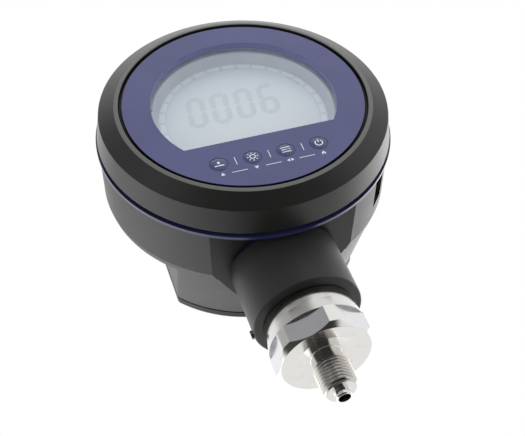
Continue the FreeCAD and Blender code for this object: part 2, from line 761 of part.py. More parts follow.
def make_front_bezel():
    """The ring round the face: narrow rim, wide bevel, sharp edge and sloping side."""
    body = new_body("front_bezel", faces_front=True)
    rim = "bezel_edge + rim_height"
    rim_outer = "bezel_edge + rim_outer_height"
    turn(body, [
        (BEZEL_BORE, "bezel_edge"),
        (BEZEL_INNER, "bezel_edge"),
        (BEZEL_INNER, "bezel_bottom"),
        ("bezel_side_radius", "bezel_bottom"),
        (BEZEL_EDGE_RADIUS, "bezel_edge"),
        (RIM_OUTER, rim_outer),
        (BEZEL_BORE, rim),
    ])
    rings = [is_ring(BEZEL_EDGE_RADIUS, "bezel_edge"), is_ring(BEZEL_BORE, rim),
             is_ring(RIM_OUTER, rim_outer), is_ring("bezel_side_radius", "bezel_bottom")]
    round_edges(body, "bezel_round", lambda edge: any(ring(edge) for ring in rings))


def make_ring(label, inner, outer, low, high):
    """A plain ring about the case axis."""
    body = new_body(label, faces_front=True)
    turn(body, tube_points(inner, outer, low, high))


def make_face_seals():
    """The seal between face plate and bezel, and the gasket between carrier and case."""
    make_ring("face_seal", OVERLAY_RADIUS + " + fit_gap", BEZEL_BORE + " - fit_gap",
              CARRIER_STEP, CARRIER_STEP + " + face_seal_height")
    make_ring("case_gasket", WALL_INNER + " + fit_gap", BEZEL_SEAT + " - fit_gap",
              "spigot_front", CARRIER_BACK)


def key_places():
    """The places of the keys on the face."""
    return [("%s * key_pitch" % step, "key_height") for step in KEYS.values()]


def make_front_overlay():
    """The blue face plate with the display's cut-out and the key openings."""
    body = new_body("front_overlay", faces_front=True)
    sketch = new_sketch(body, "XY_Plane", level=CARRIER_TOP)
    circle(sketch, OVERLAY_RADIUS)
    segment(sketch, WINDOW_RADIUS, "window_chord")
    for x, y in key_places():
        circle(sketch, "key_radius + key_clearance", x, y)
    pad(body, sketch, "overlay_thickness")


def make_face_carrier():
    """The moulded carrier behind the face plate, with seats for window, display and keys."""
    body = new_body("face_carrier", faces_front=True)
    turn(body, [
        ("0", LCD_BACK),
        (CARRIER_BODY_RADIUS, LCD_BACK),
        (CARRIER_BODY_RADIUS, CARRIER_BACK),
        (CARRIER_FLANGE_RADIUS, CARRIER_BACK),
        (CARRIER_FLANGE_RADIUS, CARRIER_STEP),
        (OVERLAY_RADIUS, CARRIER_STEP),
        (OVERLAY_RADIUS, CARRIER_TOP),
        ("0", CARRIER_TOP),
    ])
    rebate = new_sketch(body, "XY_Plane", level=CARRIER_TOP)
    segment(rebate, WINDOW_RADIUS + " + window_rebate", "window_chord - window_rebate")
    pocket(body, rebate, "window_thickness")
    seat = new_sketch(body, "XY_Plane", level=LCD_BACK)
    segment(seat, LCD_RADIUS + " + fit_gap", "lcd_chord - fit_gap")
    pocket(body, seat, WINDOW_BACK + " - " + LCD_BACK, forwards=True)
    wells = new_sketch(body, "XY_Plane", level=CARRIER_TOP)
    guides = new_sketch(body, "XY_Plane", level=CARRIER_TOP)
    for x, y in key_places():
        circle(wells, "key_flange_radius + key_clearance", x, y)
        circle(guides, "key_stem_radius + key_clearance", x, y)
    pocket(body, wells, CARRIER_TOP + " - " + KEY_POCKET)
    pocket(body, guides, CARRIER_TOP + " - " + LCD_BACK)


def make_segment_plate(label, radius, chord, low, thickness):
    """A flat plate with the display's outline."""
    body = new_body(label, faces_front=True)
    sketch = new_sketch(body, "XY_Plane", level=low)
    segment(sketch, radius, chord)
    pad(body, sketch, thickness)
    return body


def make_display():
    """The window, the frame behind it, the liquid crystal glass, its light guide and its contact strip."""
    make_segment_plate("display_window", WINDOW_RADIUS + " + window_rebate - fit_gap",
                       "window_chord - window_rebate + fit_gap",
                       WINDOW_BACK, "window_thickness")
    frame = make_segment_plate("display_frame", LCD_RADIUS, "lcd_chord", LCD_FRONT,
                               WINDOW_BACK + " - " + LCD_FRONT)
    front = new_sketch(frame, "XY_Plane", level=WINDOW_BACK)
    segment(front, FRAME_TOP_RADIUS, "frame_top_chord")
    back = new_sketch(frame, "XY_Plane", level=LCD_FRONT)
    segment(back, FRAME_LOW_RADIUS, "frame_low_chord")
    add_feature(frame, "SubtractiveLoft", front, Sections=[back], Ruled=True)
    make_segment_plate("lcd_panel", LCD_RADIUS, "lcd_chord", LCD_BACK, "lcd_thickness")
    make_segment_plate("lcd_backlight", LCD_RADIUS, "light_chord",
                       "board_front", LCD_BACK + " - board_front")
    strip = new_body("lcd_contact_strip", faces_front=True)
    sketch = new_sketch(strip, "XY_Plane", level="board_front")
    rectangle(sketch, "-strip_half_length", "lcd_chord + strip_inset",
              "strip_half_length", "lcd_chord + strip_inset + strip_width")
    pad(strip, sketch, LCD_BACK + " - board_front")


def make_main_board():
    """The round circuit board with its screw holes."""
    body = new_body("main_board", faces_front=True)
    sketch = new_sketch(body, "XY_Plane", level=BOARD_BACK)
    circle(sketch, BOARD_RADIUS)
    for x, y in corners(POST_PLACE, POST_PLACE):
        circle(sketch, "board_hole_radius", x, y)
    pad(body, sketch, "board_thickness")


def make_key_switches():
    """The switches on the board, one under each key."""
    body = new_body("key_switches", faces_front=True)
    body.AllowCompound = True
    housings = new_sketch(body, "XY_Plane", level="board_front")
    plungers = new_sketch(body, "XY_Plane", level="board_front")
    half = "switch_width / 2"
    for x, y in key_places():
        rectangle(housings, "%s - %s" % (x, half), "%s - %s" % (y, half),
                  "%s + %s" % (x, half), "%s + %s" % (y, half))
        circle(plungers, "switch_plunger_radius", x, y)
    pad(body, housings, "switch_body")
    pad(body, plungers, PLUNGER_TOP + " - board_front")


def make_screws(label, places, radius, length, head, head_height, seat, points_front):
    """A group of like pan-head screws with cross recesses; the head lies on its seat."""
    body = new_body(label, faces_front=True)
    body.AllowCompound = True
    heads = new_sketch(body, "XY_Plane", level=seat)
    shanks = new_sketch(body, "XY_Plane", level=seat)
    top = "%s + %s" % (seat, head_height) if points_front else "%s - %s" % (seat, head_height)
    recess = new_sketch(body, "XY_Plane", level=top)
    for x, y in places:
        circle(heads, head, x, y)
        circle(shanks, radius, x, y)
        cross(recess, x, y)
    pad(body, heads, head_height, backwards=not points_front)
    pad(body, shanks, length, backwards=points_front)
    pocket(body, recess, "cross_depth", forwards=not points_front)


def cross(sketch, x, y):
    """A screw's cross recess as one closed outline."""
    arm, half = "cross_length / 2", "cross_width / 2"
    steps = [(arm, half), (half, half), (half, arm)]
    quarter = [("", ""), ("-", ""), ("-", "-"), ("", "-")]
    points = []
    for index, (sign_x, sign_y) in enumerate(quarter):
        ordered = steps if index % 2 == 0 else steps[::-1]
        points += [("%s + %s(%s)" % (x, sign_x or "1 * ", dx), "%s + %s(%s)" % (y, sign_y or "1 * ", dy))
                   for dx, dy in ordered]
    polygon(sketch, points)


def make_sensor_wiring():
    """The socket on the back of the board and the lead that comes to it from the capsule."""
    body = new_body("sensor_socket", faces_front=True)
    sketch = new_sketch(body, "XY_Plane", level=BOARD_BACK)
    rectangle(sketch, "-socket_width / 2", "socket_low", "socket_width / 2", "socket_low + socket_height")
    pad(body, sketch, "socket_depth", backwards=True)
    front = -size(BOARD_BACK) + size("socket_depth") / 2
    start, end, level = size(LEAD_START), size(LEAD_END), size(LEAD_LEVEL)
    bend = min(size("lead_bend"), 0.45 * (end - start))
    lean = bend * (1 - math.sqrt(0.5))
    points = [(0, start), (0, level - bend), (-lean, level - lean), (-bend, level),
              (front + bend, level), (front + lean, level + lean), (front, level + bend), (front, end)]
    places = [FreeCAD.Vector(0, y, z) for y, z in points]
    path = Part.Wire([
        Part.LineSegment(places[0], places[1]).toShape(),
        Part.Arc(places[1], places[2], places[3]).toShape(),
        Part.LineSegment(places[3], places[4]).toShape(),
        Part.Arc(places[4], places[5], places[6]).toShape(),
        Part.LineSegment(places[6], places[7]).toShape(),
    ])
    section = Part.Wire(Part.Circle(places[0], FreeCAD.Vector(0, 0, 1), size("lead_radius")).toShape())
    lead = doc.addObject("Part::Feature", "sensor_lead")
    lead.Label = "sensor_lead"
    lead.Shape = path.makePipeShell([section], True, True)
    subparts.append(lead)


def make_keys():
    """The four keys: cap through the face plate, flange under it, stem down to the switch."""
    for label, step in KEYS.items():
        body = new_body(label, faces_front=True)
        body.setExpression("Placement.Base.x", tied("%s * key_pitch" % step))
        body.setExpression("Placement.Base.z", tied("case_height + key_height"))
        turn(body, [
            ("0", KEY_STEM_END),
            ("key_stem_radius", KEY_STEM_END),
            ("key_stem_radius", KEY_FLANGE_LOW),
            ("key_flange_radius", KEY_FLANGE_LOW),
            ("key_flange_radius", KEY_FLANGE_TOP),
            ("key_radius", KEY_FLANGE_TOP),
            ("key_radius", KEY_TOP),
            ("0", KEY_TOP),
        ])
        round_edges(body, "key_edge", is_ring("key_radius", KEY_TOP))


def make_batteries():
    """Two cells lying side by side across the hump, end for end."""
    for label, side, facing in (("battery_cell_1", "-", 90), ("battery_cell_2", "+", -90)):
        body = new_body(label)
        turned = FreeCAD.Rotation(FreeCAD.Vector(0, 1, 0), facing)
        body.Placement = FreeCAD.Placement(FreeCAD.Vector(), turned)
        body.setExpression("Placement.Base.y", tied(BATTERY_LEVEL))
        place = "case_height + battery_middle %s battery_pitch / 2" % side
        body.setExpression("Placement.Base.z", tied(place))
        low = "(-(battery_length + battery_nub_length) / 2)"
        high = "(%s + battery_length)" % low
        turn(body, [
            ("0", low),
            ("battery_radius - battery_edge", low),
            ("battery_radius", low + " + battery_edge"),
            ("battery_radius", high + " - battery_edge"),
            ("battery_radius - battery_edge", high),
            ("battery_nub_radius", high),
            ("battery_nub_radius", high + " + battery_nub_length"),
            ("0", high + " + battery_nub_length"),
        ])


def make_contact(label, side, plates):
    """Contact plates on an end wall of the pocket, with a pressed bump for each cell."""
    body = new_body(label, faces_front=True)
    body.AllowCompound = True
    level = "-" + BATTERY_LEVEL
    half = "contact_width / 2"
    wall = "(%s * %s)" % (side, POCKET_HALF)
    face = "(%s * (%s - contact_plate))" % (side, POCKET_HALF)
    sheets = new_sketch(body, "YZ_Plane", level=wall)
    for low, high in plates:
        rectangle(sheets, "%s - %s" % (low, half), "%s - %s" % (level, half),
                  "%s + %s" % (high, half), "%s + %s" % (level, half))
    pad(body, sheets, "contact_plate", backwards=side > 0)
    for place in CELL_PLACES:
        foot = new_sketch(body, "YZ_Plane", level=face)
        circle(foot, "contact_bump_radius", place, level)
        tip = new_sketch(body, "YZ_Plane", level="%s - %s * contact_bump" % (face, side))
        circle(tip, "contact_tip_radius", place, level)
        add_feature(body, "AdditiveLoft", foot, Sections=[tip])


CELL_PLACES = ("(battery_middle - battery_pitch / 2)", "(battery_middle + battery_pitch / 2)")


def make_contacts():
    """One plate that joins both cells at one end, and a plate for each cell at the other."""
    make_contact("bridge_contact", -1, [CELL_PLACES])
    make_contact("terminal_contacts", 1, [(place, place) for place in CELL_PLACES])


def make_battery_lid():
    """The lid over the hump, with a seam round it and sunk seats for its screws, and the seal under it."""
    body = new_body("battery_lid", faces_front=True)
    seam = new_sketch(body, "XY_Plane", level="-hump_back")
    hump_outline(seam, "lid_seam_depth", "lid_seam_depth")
    pad(body, seam, "lid_seam", backwards=True)
    plate = new_sketch(body, "XY_Plane", level="-hump_back - lid_seam")
    hump_outline(plate)
    pad(body, plate, "lid_thickness - lid_seam", backwards=True)
    round_edges(body, "hump_corner", lambda edge: runs_back(edge) and edge.CenterOfMass.y > 0)
    round_edges(body, "hump_foot_corner",
                lambda edge: runs_back(edge) and edge.CenterOfMass.y < -size("hump_corner"))
    back = -size(LID_BACK)
    round_edges(body, "lid_edge",
                lambda edge: all(abs(end.Point.z - back) < 0.001 for end in edge.Vertexes))
    seats = new_sketch(body, "XY_Plane", level="-" + LID_BACK)
    holes = new_sketch(body, "XY_Plane", level="-" + LID_BACK)
    for x, y in lid_screw_places():
        circle(seats, "lid_screw_head + fit_gap", x, y)
        circle(holes, "lid_screw_radius + fit_gap", x, y)
    pocket(body, seats, "lid_screw_head_height", forwards=True)
    pocket(body, holes, "lid_thickness", forwards=True)
    seal = new_body("lid_gasket", faces_front=True)
    loop = new_sketch(seal, "XY_Plane", level="-hump_back")
    seal_loop(loop, "fit_gap")
    pad(seal, loop, "lid_seal_depth")


def make_stop_screw():
    """The screw in the collar whose tip runs in the barrel's stop groove."""
    body = new_body("stop_screw")
    around = FreeCAD.Rotation(FreeCAD.Vector(0, 0, 1), size("stop_angle"))
    outward = FreeCAD.Rotation(FreeCAD.Vector(0, 1, 0), 90)
    body.Placement = FreeCAD.Placement(FreeCAD.Vector(), around.multiply(outward))
    body.setExpression("Placement.Base.z", tied("stop_height"))
    head_seat = "(collar_radius - stop_head_sunk)"
    head_top = "(collar_radius + stop_head_proud)"
    tip = "(barrel_radius - stop_depth + run_gap)"
    turn(body, [
        ("0", tip),
        ("stop_radius", tip),
        ("stop_radius", head_seat),
        ("stop_head_radius", head_seat),
        ("stop_head_radius", head_top),
        ("0", head_top),
    ])
    slot = new_sketch(body, "XY_Plane", level=head_top)
    rectangle(slot, "-stop_slot_width / 2", "-stop_head_radius * 2",
              "stop_slot_width / 2", "stop_head_radius * 2")
    pocket(body, slot, "stop_head_proud / 2")


def check_and_export():
    """Stops if any object failed, then writes each sub-part to its own file."""
    doc.recompute()
    failed = [item.Label for item in doc.Objects if {"Invalid", "Error"} & set(item.State)]
    assert not failed, "failed: %s" % failed
    for part in subparts:
        shape = part.Shape
        assert not shape.isNull() and shape.isValid() and shape.Solids, part.Label + " is not a sound solid"
    os.makedirs("parts", exist_ok=True)
    for part in subparts:
        part.Shape.exportStep("parts/%s.step" % part.Label)
        print("%-20s %2d solids %10.1f mm3" % (part.Label, len(part.Shape.Solids), part.Shape.Volume))


write_sheet()
make_process_fitting()
make_sensor_cell()
make_stem_o_ring()
make_retaining_ring()
make_swivel_bush()
make_main_case()
make_rear_cover()
make_front_bezel()
make_face_seals()
make_front_overlay()
make_face_carrier()
make_display()
make_main_board()
make_key_switches()
make_screws("board_screws", corners(POST_PLACE, POST_PLACE), "board_screw_radius - fit_gap",
            "board_screw_length", "board_screw_head", "board_screw_head_height", "board_front", True)
make_sensor_wiring()
make_keys()
make_batteries()
make_contacts()
make_battery_lid()
make_screws("lid_screws", lid_screw_places(), "lid_screw_radius - fit_gap", "lid_screw_length",
            "lid_screw_head", "lid_screw_head_height", "-%s + lid_screw_head_height" % LID_BACK, False)
make_stop_screw()
check_and_export()
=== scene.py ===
"""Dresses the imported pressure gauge: finishes, print, display and studio, in the row frame."""

import logging
import math
from dataclasses import dataclass, field
from enum import Enum, IntEnum
from typing import Callable, Iterable, Optional, Sequence, Union

import bmesh
import bpy
from mathutils import Matrix, Vector


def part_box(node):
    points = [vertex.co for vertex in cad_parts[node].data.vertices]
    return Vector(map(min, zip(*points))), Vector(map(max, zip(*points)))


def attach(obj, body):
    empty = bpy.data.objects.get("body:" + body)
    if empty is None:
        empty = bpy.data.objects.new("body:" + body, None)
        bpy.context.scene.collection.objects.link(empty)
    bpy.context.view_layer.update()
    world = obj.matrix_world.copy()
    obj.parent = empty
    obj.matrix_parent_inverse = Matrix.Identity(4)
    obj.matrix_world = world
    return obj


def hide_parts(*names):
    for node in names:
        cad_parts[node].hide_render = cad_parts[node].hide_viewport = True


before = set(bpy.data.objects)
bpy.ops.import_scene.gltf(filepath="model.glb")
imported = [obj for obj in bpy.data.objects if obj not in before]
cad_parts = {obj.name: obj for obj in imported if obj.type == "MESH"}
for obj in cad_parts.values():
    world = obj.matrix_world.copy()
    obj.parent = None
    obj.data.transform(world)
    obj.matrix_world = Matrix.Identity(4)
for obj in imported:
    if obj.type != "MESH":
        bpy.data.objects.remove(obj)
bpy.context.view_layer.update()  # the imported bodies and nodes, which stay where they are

LOG = logging.getLogger("gauge")
MM = 0.001
DOUBLES = 1e-7
SLIVERS = 1e-8
CREASE = 18.0

Socket = bpy.types.NodeSocket
Material = bpy.types.Material
Mesh = bpy.types.Mesh
Colour = tuple[float, float, float]
Flat = tuple[float, float]
Place = Callable[[float, float, float], Vector]
Height = Callable[[float, float], float]

CLOUDS: Flat = (0.3, 0.7)


def shade(red: float, green: float, blue: float) -> Colour:
    """A linear colour from one written in display values of 0 to 255."""
    def linear(value: float) -> float:
        """One channel, made linear."""
        share = value / 255
        return share / 12.92 if share <= 0.04045 else ((share + 0.055) / 1.055) ** 2.4
    return linear(red), linear(green), linear(blue)


def tinted(colour: Colour, gain: float) -> Colour:
    """A colour made darker or lighter by a factor."""
    return tuple(channel * gain for channel in colour)


class Body(str, Enum):
    """The moving bodies of the gauge."""

    CONNECTION = "connection"
    HOUSING = "housing"
    ZERO_KEY = "zero_key"
    LIGHT_KEY = "light_key"
    MENU_KEY = "menu_key"
    POWER_KEY = "power_key"


class Lay(Enum):
    """How the tool marks run on a machined face."""

    TURNED = "turned"
    MILLED = "milled"


class Cut(IntEnum):
    """The faces of the connection's body, in the order of their finishes."""

    TURNED = 0
    FLAT = 1
    LEDGE = 2
    BARREL = 3


def math_node(operation: str, number_first: bool = False) -> Callable[..., "Value"]:
    """A method of Value that adds one Math node."""
    def method(value: "Value", *others: "Operand") -> "Value":
        """Puts the value and the others through the node."""
        operands = (*others, value) if number_first else (value, *others)
        node = value.graph.add("ShaderNodeMath", {"operation": operation},
                               dict(enumerate(operands)))
        return Value(value.graph, node.outputs[0])
    return method


class Value:
    """A socket that carries a number, with arithmetic that adds Math nodes.

    Sine and cosine take radians, wrapped takes off whole turns, and above gives one over a limit
    and otherwise zero.
    """

    def __init__(self, graph: "Graph", socket: Socket) -> None:
        """Keeps the socket and the tree that it is in."""
        self.graph = graph
        self.socket = socket

    __add__ = math_node("ADD")
    __radd__ = math_node("ADD", number_first=True)
    __sub__ = math_node("SUBTRACT")
    __rsub__ = math_node("SUBTRACT", number_first=True)
    __mul__ = math_node("MULTIPLY")
    __rmul__ = math_node("MULTIPLY", number_first=True)
    __truediv__ = math_node("DIVIDE")
    least = math_node("MINIMUM")
    most = math_node("MAXIMUM")
    wrapped = math_node("FRACT")
    root = math_node("SQRT")
    sine = math_node("SINE")
    cosine = math_node("COSINE")
    above = math_node("GREATER_THAN")

    def eased(self, low: float, high: float) -> "Value":
        """Goes smoothly from zero at a low value to one at a high value."""
        node = self.graph.add("ShaderNodeMapRange", {"interpolation_type": "SMOOTHSTEP"},
                              {"Value": self, "From Min": low, "From Max": high})
        return Value(self.graph, node.outputs["Result"])


Operand = Union[Value, float]
Feed = Union[Value, Socket, float, int, bool, Sequence[float], Material]


class Graph:
    """A node tree of a finish, of the world or of a rule for a mesh."""

    def __init__(self, tree: bpy.types.NodeTree) -> None:
        """Starts from an empty tree."""
        self.tree = tree
        tree.nodes.clear()

    def add(self, kind: str, settings: Optional[dict[str, object]] = None,
            sockets: Optional[dict[Union[str, int], Feed]] = None) -> bpy.types.Node:
        """Adds one node.

        Args:
            kind: The node's type.
            settings: Its properties, set first.
            sockets: Values or links for its inputs, by name or number.

        Returns:
            The node.
        """
        node = self.tree.nodes.new(kind)
        for name, setting in (settings or {}).items():
            setattr(node, name, setting)
        for key, feed in (sockets or {}).items():
            self.feed(node.inputs[key], feed)
        return node

    def feed(self, socket: Socket, feed: Feed) -> None:
        """Links a socket to a source, or sets its own value."""
        if isinstance(feed, Value):
            feed = feed.socket
        if isinstance(feed, Socket):
            self.tree.links.new(feed, socket)
        elif socket.type == "RGBA" and len(feed) == 3:
            socket.default_value = (*feed, 1.0)
        else:
            socket.default_value = feed

    def point(self) -> Socket:
        """The place on the piece, in metres in the row frame."""
        return self.add("ShaderNodeTexCoord").outputs["Object"]

    def axes(self, vector: Socket) -> tuple[Value, Value, Value]:
        """A vector's three numbers."""
        node = self.add("ShaderNodeSeparateXYZ", sockets={0: vector})
        return tuple(Value(self, output) for output in node.outputs)

    def vector(self, across: Operand, along: Operand, up: Operand) -> Socket:
        """A vector made of three numbers."""
        return self.add("ShaderNodeCombineXYZ", sockets={0: across, 1: along, 2: up}).outputs[0]

    def from_axis(self, place: Socket, middle: float) -> Value:
        """How far a place lies from the face's axis, whose height is given in millimetres."""
        across, _, up = self.axes(place)
        height = up - middle * MM
        return (across * across + height * height).root()

    def towards(self, vector: Socket, way: Sequence[float]) -> Value:
        """How far a vector points along a way: one along it, minus one against it."""
        facing = self.add("ShaderNodeVectorMath", {"operation": "DOT_PRODUCT"},
                          {0: vector, 1: tuple(Vector(way).normalized())})
        return Value(self, facing.outputs["Value"])

    def noise(self, vector: Socket, grain: float, detail: float = 2.0) -> Value:
        """Soft noise.

        Args:
            vector: Where it is read.
            grain: The size of its lumps, in the vector's unit.
            detail: How many finer layers it has.

        Returns:
            Values about one half.
        """
        node = self.add("ShaderNodeTexNoise", {"noise_dimensions": "3D"},
                        {"Vector": vector, "Scale": 1.0 / grain, "Detail": detail})
        return Value(self, node.outputs[0])

    def blend(self, share: Operand, first: Feed, second: Feed) -> Socket:
        """A colour between two, by a share."""
        node = self.add("ShaderNodeMix", {"data_type": "RGBA"}, {0: share, 6: first, 7: second})
        return node.outputs[2]

    def bump(self, height: Value, depth: float) -> Socket:
        """A normal that follows a height, in millimetres of depth."""
        sockets = {"Height": height, "Distance": depth * MM, "Strength": 1.0}
        return self.add("ShaderNodeBump", sockets=sockets).outputs["Normal"]

    def surface(self, sockets: dict[str, Feed]) -> None:
        """Ends the tree in the main shader with these sockets."""
        shader = self.add("ShaderNodeBsdfPrincipled", sockets=sockets)
        self.add("ShaderNodeOutputMaterial", sockets={"Surface": shader.outputs[0]})


def new_finish(name: str) -> tuple[Material, Graph]:
    """An empty finish and its tree."""
    material = bpy.data.materials.new(name)
    material.use_nodes = True
    return material, Graph(material.node_tree)


@dataclass(frozen=True)
class Finish:
    """A finish that paints its own tree."""

    name: str

    def make(self) -> Material:
        """Builds the finish."""
        material, graph = new_finish(self.name)
        self._paint(graph, graph.point())
        return material

    def _paint(self, graph: Graph, place: Socket) -> None:
        """Fills the tree, given the place on the piece."""
        raise NotImplementedError


@dataclass(frozen=True)
class MouldedPlastic(Finish):
    """Plastic from a textured mould: fine eroded grain, slight flow mottle and rubbed patches."""

    colour: Colour
    roughness: float = 0.42
    grain: float = 0.35
    grain_depth: float = 0.012
    mottle: float = 0.12
    rub: float = 0.10
    gloss: float = 0.5
    flow: float = 14.0
    patch: float = 5.0

    def _paint(self, graph: Graph, place: Socket) -> None:
        """Fills the tree."""
        grain = graph.noise(place, self.grain * MM, 3.0)
        flow = graph.noise(place, self.flow * MM, 2.0)
        rubbed = graph.noise(place, self.patch * MM, 4.0).eased(0.52, 0.72)
        speck = (flow * 0.7 + grain * 0.3).eased(*CLOUDS)
        graph.surface({
            "Base Color": self._tone(graph, place, speck),
            "Roughness": self.roughness + (grain - 0.5) * 0.12 - rubbed * self.rub,
            "IOR": 1.5,
            "Specular IOR Level": self.gloss,
            "Normal": graph.bump(grain, self.grain_depth),
        })

    def _tone(self, graph: Graph, place: Socket, speck: Value) -> Socket:
        """The colour, a little darker and lighter in specks."""
        darker = tinted(self.colour, 1.0 - self.mottle)
        return graph.blend(speck, darker, tinted(self.colour, 1.0 + self.mottle))


@dataclass(frozen=True)
class HighlightRimPlastic(MouldedPlastic):
    """Moulded plastic of a round bezel, with a pale ring next to the face that is a painted
    highlight of its inner lip's edge.
    """

    middle: float = 0.0
    rim_start: float = 46.5
    rim_end: float = 48.2
    rim_soft: Flat = (0.1, 0.2)
    rim_highlight_colour: Colour = (0.125, 0.126, 0.122)

    def _tone(self, graph: Graph, place: Socket, speck: Value) -> Socket:
        """The plain colour, and a painted highlight colour on the ring between its two radii."""
        out = graph.from_axis(place, self.middle)
        inner, outer = self.rim_soft
        # painted highlight: a pale ring on the bezel's inner lip, between two radii from the face's
        # axis
        rim_highlight = out.eased((self.rim_start - inner) * MM, self.rim_start * MM)
        rim_highlight = rim_highlight * (1.0 - out.eased((self.rim_end - outer) * MM, self.rim_end * MM))
        return graph.blend(rim_highlight, super()._tone(graph, place, speck), self.rim_highlight_colour)


@dataclass(frozen=True)
class CastPaint(Finish):
    """Coloured paint on a cast case: smooth, with a faint orange-peel surface."""

    colour: Colour
    roughness: float = 0.3
    peel: float = 1.1
    peel_depth: float = 0.006
    cloud: float = 9.0

    def _paint(self, graph: Graph, place: Socket) -> None:
        """Fills the tree."""
        peel = graph.noise(place, self.peel * MM, 1.0)
        cloud = graph.noise(place, self.cloud * MM, 2.0).eased(*CLOUDS)
        graph.surface({
            "Base Color": graph.blend(cloud, tinted(self.colour, 0.88), tinted(self.colour, 1.1)),
            "Roughness": self.roughness + (cloud - 0.5) * 0.08,
            "Coat Weight": 0.25 + (peel - 0.5) * 0.1,
            "Coat Roughness": 0.12,
            "Normal": graph.bump(peel, self.peel_depth),
        })


@dataclass(frozen=True)
class FaceFilm(Finish):
    """The blue film of the face: even ink under a matt, finely grained top. Where a level is given,
    its outer wall by the bezel is painted near black as painted shade in the gap.
    """

    colour: Colour
    roughness: float = 0.3
    grain: float = 0.22
    grain_depth: float = 0.003
    cloud: float = 20.0
    wipe: float = 6.0
    wipe_stretch: float = 4.0
    level: float = 0.0
    middle: float = 0.0
    wall_depth: Flat = (0.1, 0.2)
    wall_split: Flat = (37.0, 39.0)
    window_wall: Colour = (0.15, 0.165, 0.33)
    gap_shade_colour: Colour = (0.01, 0.01, 0.02)

    def _paint(self, graph: Graph, place: Socket) -> None:
        """Fills the tree."""
        grain = graph.noise(place, self.grain * MM, 2.0)
        cloud = graph.noise(place, self.cloud * MM, 2.0)
        across, along, up = graph.axes(place)
        wipes = graph.vector(across, along, up * self.wipe_stretch)
        wiped = graph.noise(wipes, self.wipe * MM, 3.0).eased(0.45, 0.75)
        tone = graph.blend(cloud.eased(*CLOUDS), tinted(self.colour, 0.95),
                           tinted(self.colour, 1.05))
        if self.level:
            start, end = (depth * MM for depth in self.wall_depth)
            below = (along + self.level * MM).eased(start, end)
            # painted shade: the film's outer wall, out past the window's wall, is painted near
            # black as shade in the gap by the bezel
            start, end = (radius * MM for radius in self.wall_split)
            in_gap_shade = graph.from_axis(place, self.middle).eased(start, end)
            tone = graph.blend(below, tone, graph.blend(in_gap_shade, self.window_wall, self.gap_shade_colour))
        graph.surface({
            "Base Color": tone,
            "Roughness": self.roughness + (grain - 0.5) * 0.08 + wiped * 0.05,
            "Normal": graph.bump(grain, self.grain_depth),
        })


@dataclass(frozen=True)
class MachinedSteel(Finish):
    """Bright steel with fine tool marks, turned round the neck axis or milled across it."""

    colour: Colour = (0.76, 0.745, 0.72)
    roughness: float = 0.2
    lay: Lay = Lay.TURNED
    mark: float = 0.12
    mark_depth: float = 0.004
    turned_drift: float = 0.02
    milled_drift: float = 0.04
    broadness: float = 9.0
    stain: float = 4.0

    def _paint(self, graph: Graph, place: Socket) -> None:
        """Fills the tree."""
        across, along, up = graph.axes(place)
        if self.lay is Lay.TURNED:
            out = (across * across + along * along).root()
            track = graph.vector(out, up, (across + along) * self.turned_drift)
        else:
            drift = self.milled_drift
            track = graph.vector(across * drift, along * drift, up)
        marks = graph.noise(track, self.mark * MM, 3.0)
        broad = graph.noise(track, self.mark * self.broadness * MM, 2.0)
        stain = graph.noise(place, self.stain * MM, 4.0).eased(0.5, 0.8)
        graph.surface({
            "Base Color": graph.blend(stain * 0.5, self.colour, tinted(self.colour, 0.86)),
            "Metallic": 1.0,
            "Roughness": self.roughness + (marks - 0.5) * 0.16 + (broad - 0.5) * 0.1 + stain * 0.05,
            "Normal": graph.bump(marks * 0.7 + broad * 0.3, self.mark_depth),
        })


@dataclass(frozen=True)
class ClearWindow(Finish):
    """Clear acrylic: what lies behind shows through, and the room is mirrored faintly."""

    mirror_roughness: float = 0.08
    bending: float = 1.45
    tint: Colour = (0.97, 0.98, 0.985)
    smear: float = 7.0
    smear_loss: float = 0.15

    def _paint(self, graph: Graph, place: Socket) -> None:
        """Fills the tree."""
        smear = graph.noise(place, self.smear * MM, 3.0).eased(0.45, 0.8)
        behind = Value(graph, graph.add("ShaderNodeNewGeometry").outputs["Backfacing"])
        edge = graph.add("ShaderNodeFresnel", sockets={"IOR": self.bending})
        mirrored = Value(graph, edge.outputs[0]) * (1.0 - behind)
        clear = graph.add("ShaderNodeBsdfTransparent", sockets={"Color": self.tint})
        gloss = graph.add("ShaderNodeBsdfAnisotropic", sockets={
            "Color": (1.0, 1.0, 1.0), "Roughness": self.mirror_roughness})
        pane = graph.add("ShaderNodeMixShader", sockets={
            0: mirrored * (1.0 - smear * self.smear_loss),
            1: clear.outputs[0], 2: gloss.outputs[0]})
        graph.add("ShaderNodeOutputMaterial", sockets={"Surface": pane.outputs[0]})


@dataclass(frozen=True)
class DisplayGlass(Finish):
    """The pale liquid crystal: a soft grey ground, with painted shade that makes it a little darker
    towards its top.
    """

    low: Colour
    high: Colour
    middle: float
    reach: float
    roughness: float = 0.35
    cloud: float = 12.0
    grain: float = 0.15
    grain_depth: float = 0.001

    def _paint(self, graph: Graph, place: Socket) -> None:
        """Fills the tree."""
        height = (graph.axes(place)[2] - (self.middle - self.reach) * MM) / (2.0 * self.reach * MM)
        cloud = graph.noise(place, self.cloud * MM, 2.0)
        fine = graph.noise(place, self.grain * MM, 1.0)
        # painted shade: the ground blends to the darker high colour towards the top of the glass
        share = (height + (cloud - 0.5) * 0.5).eased(0.1, 0.95)
        graph.surface({
            "Base Color": graph.blend(share, self.low, self.high),
            "Roughness": self.roughness + (fine - 0.5) * 0.1,
            "Normal": graph.bump(fine, self.grain_depth),
        })


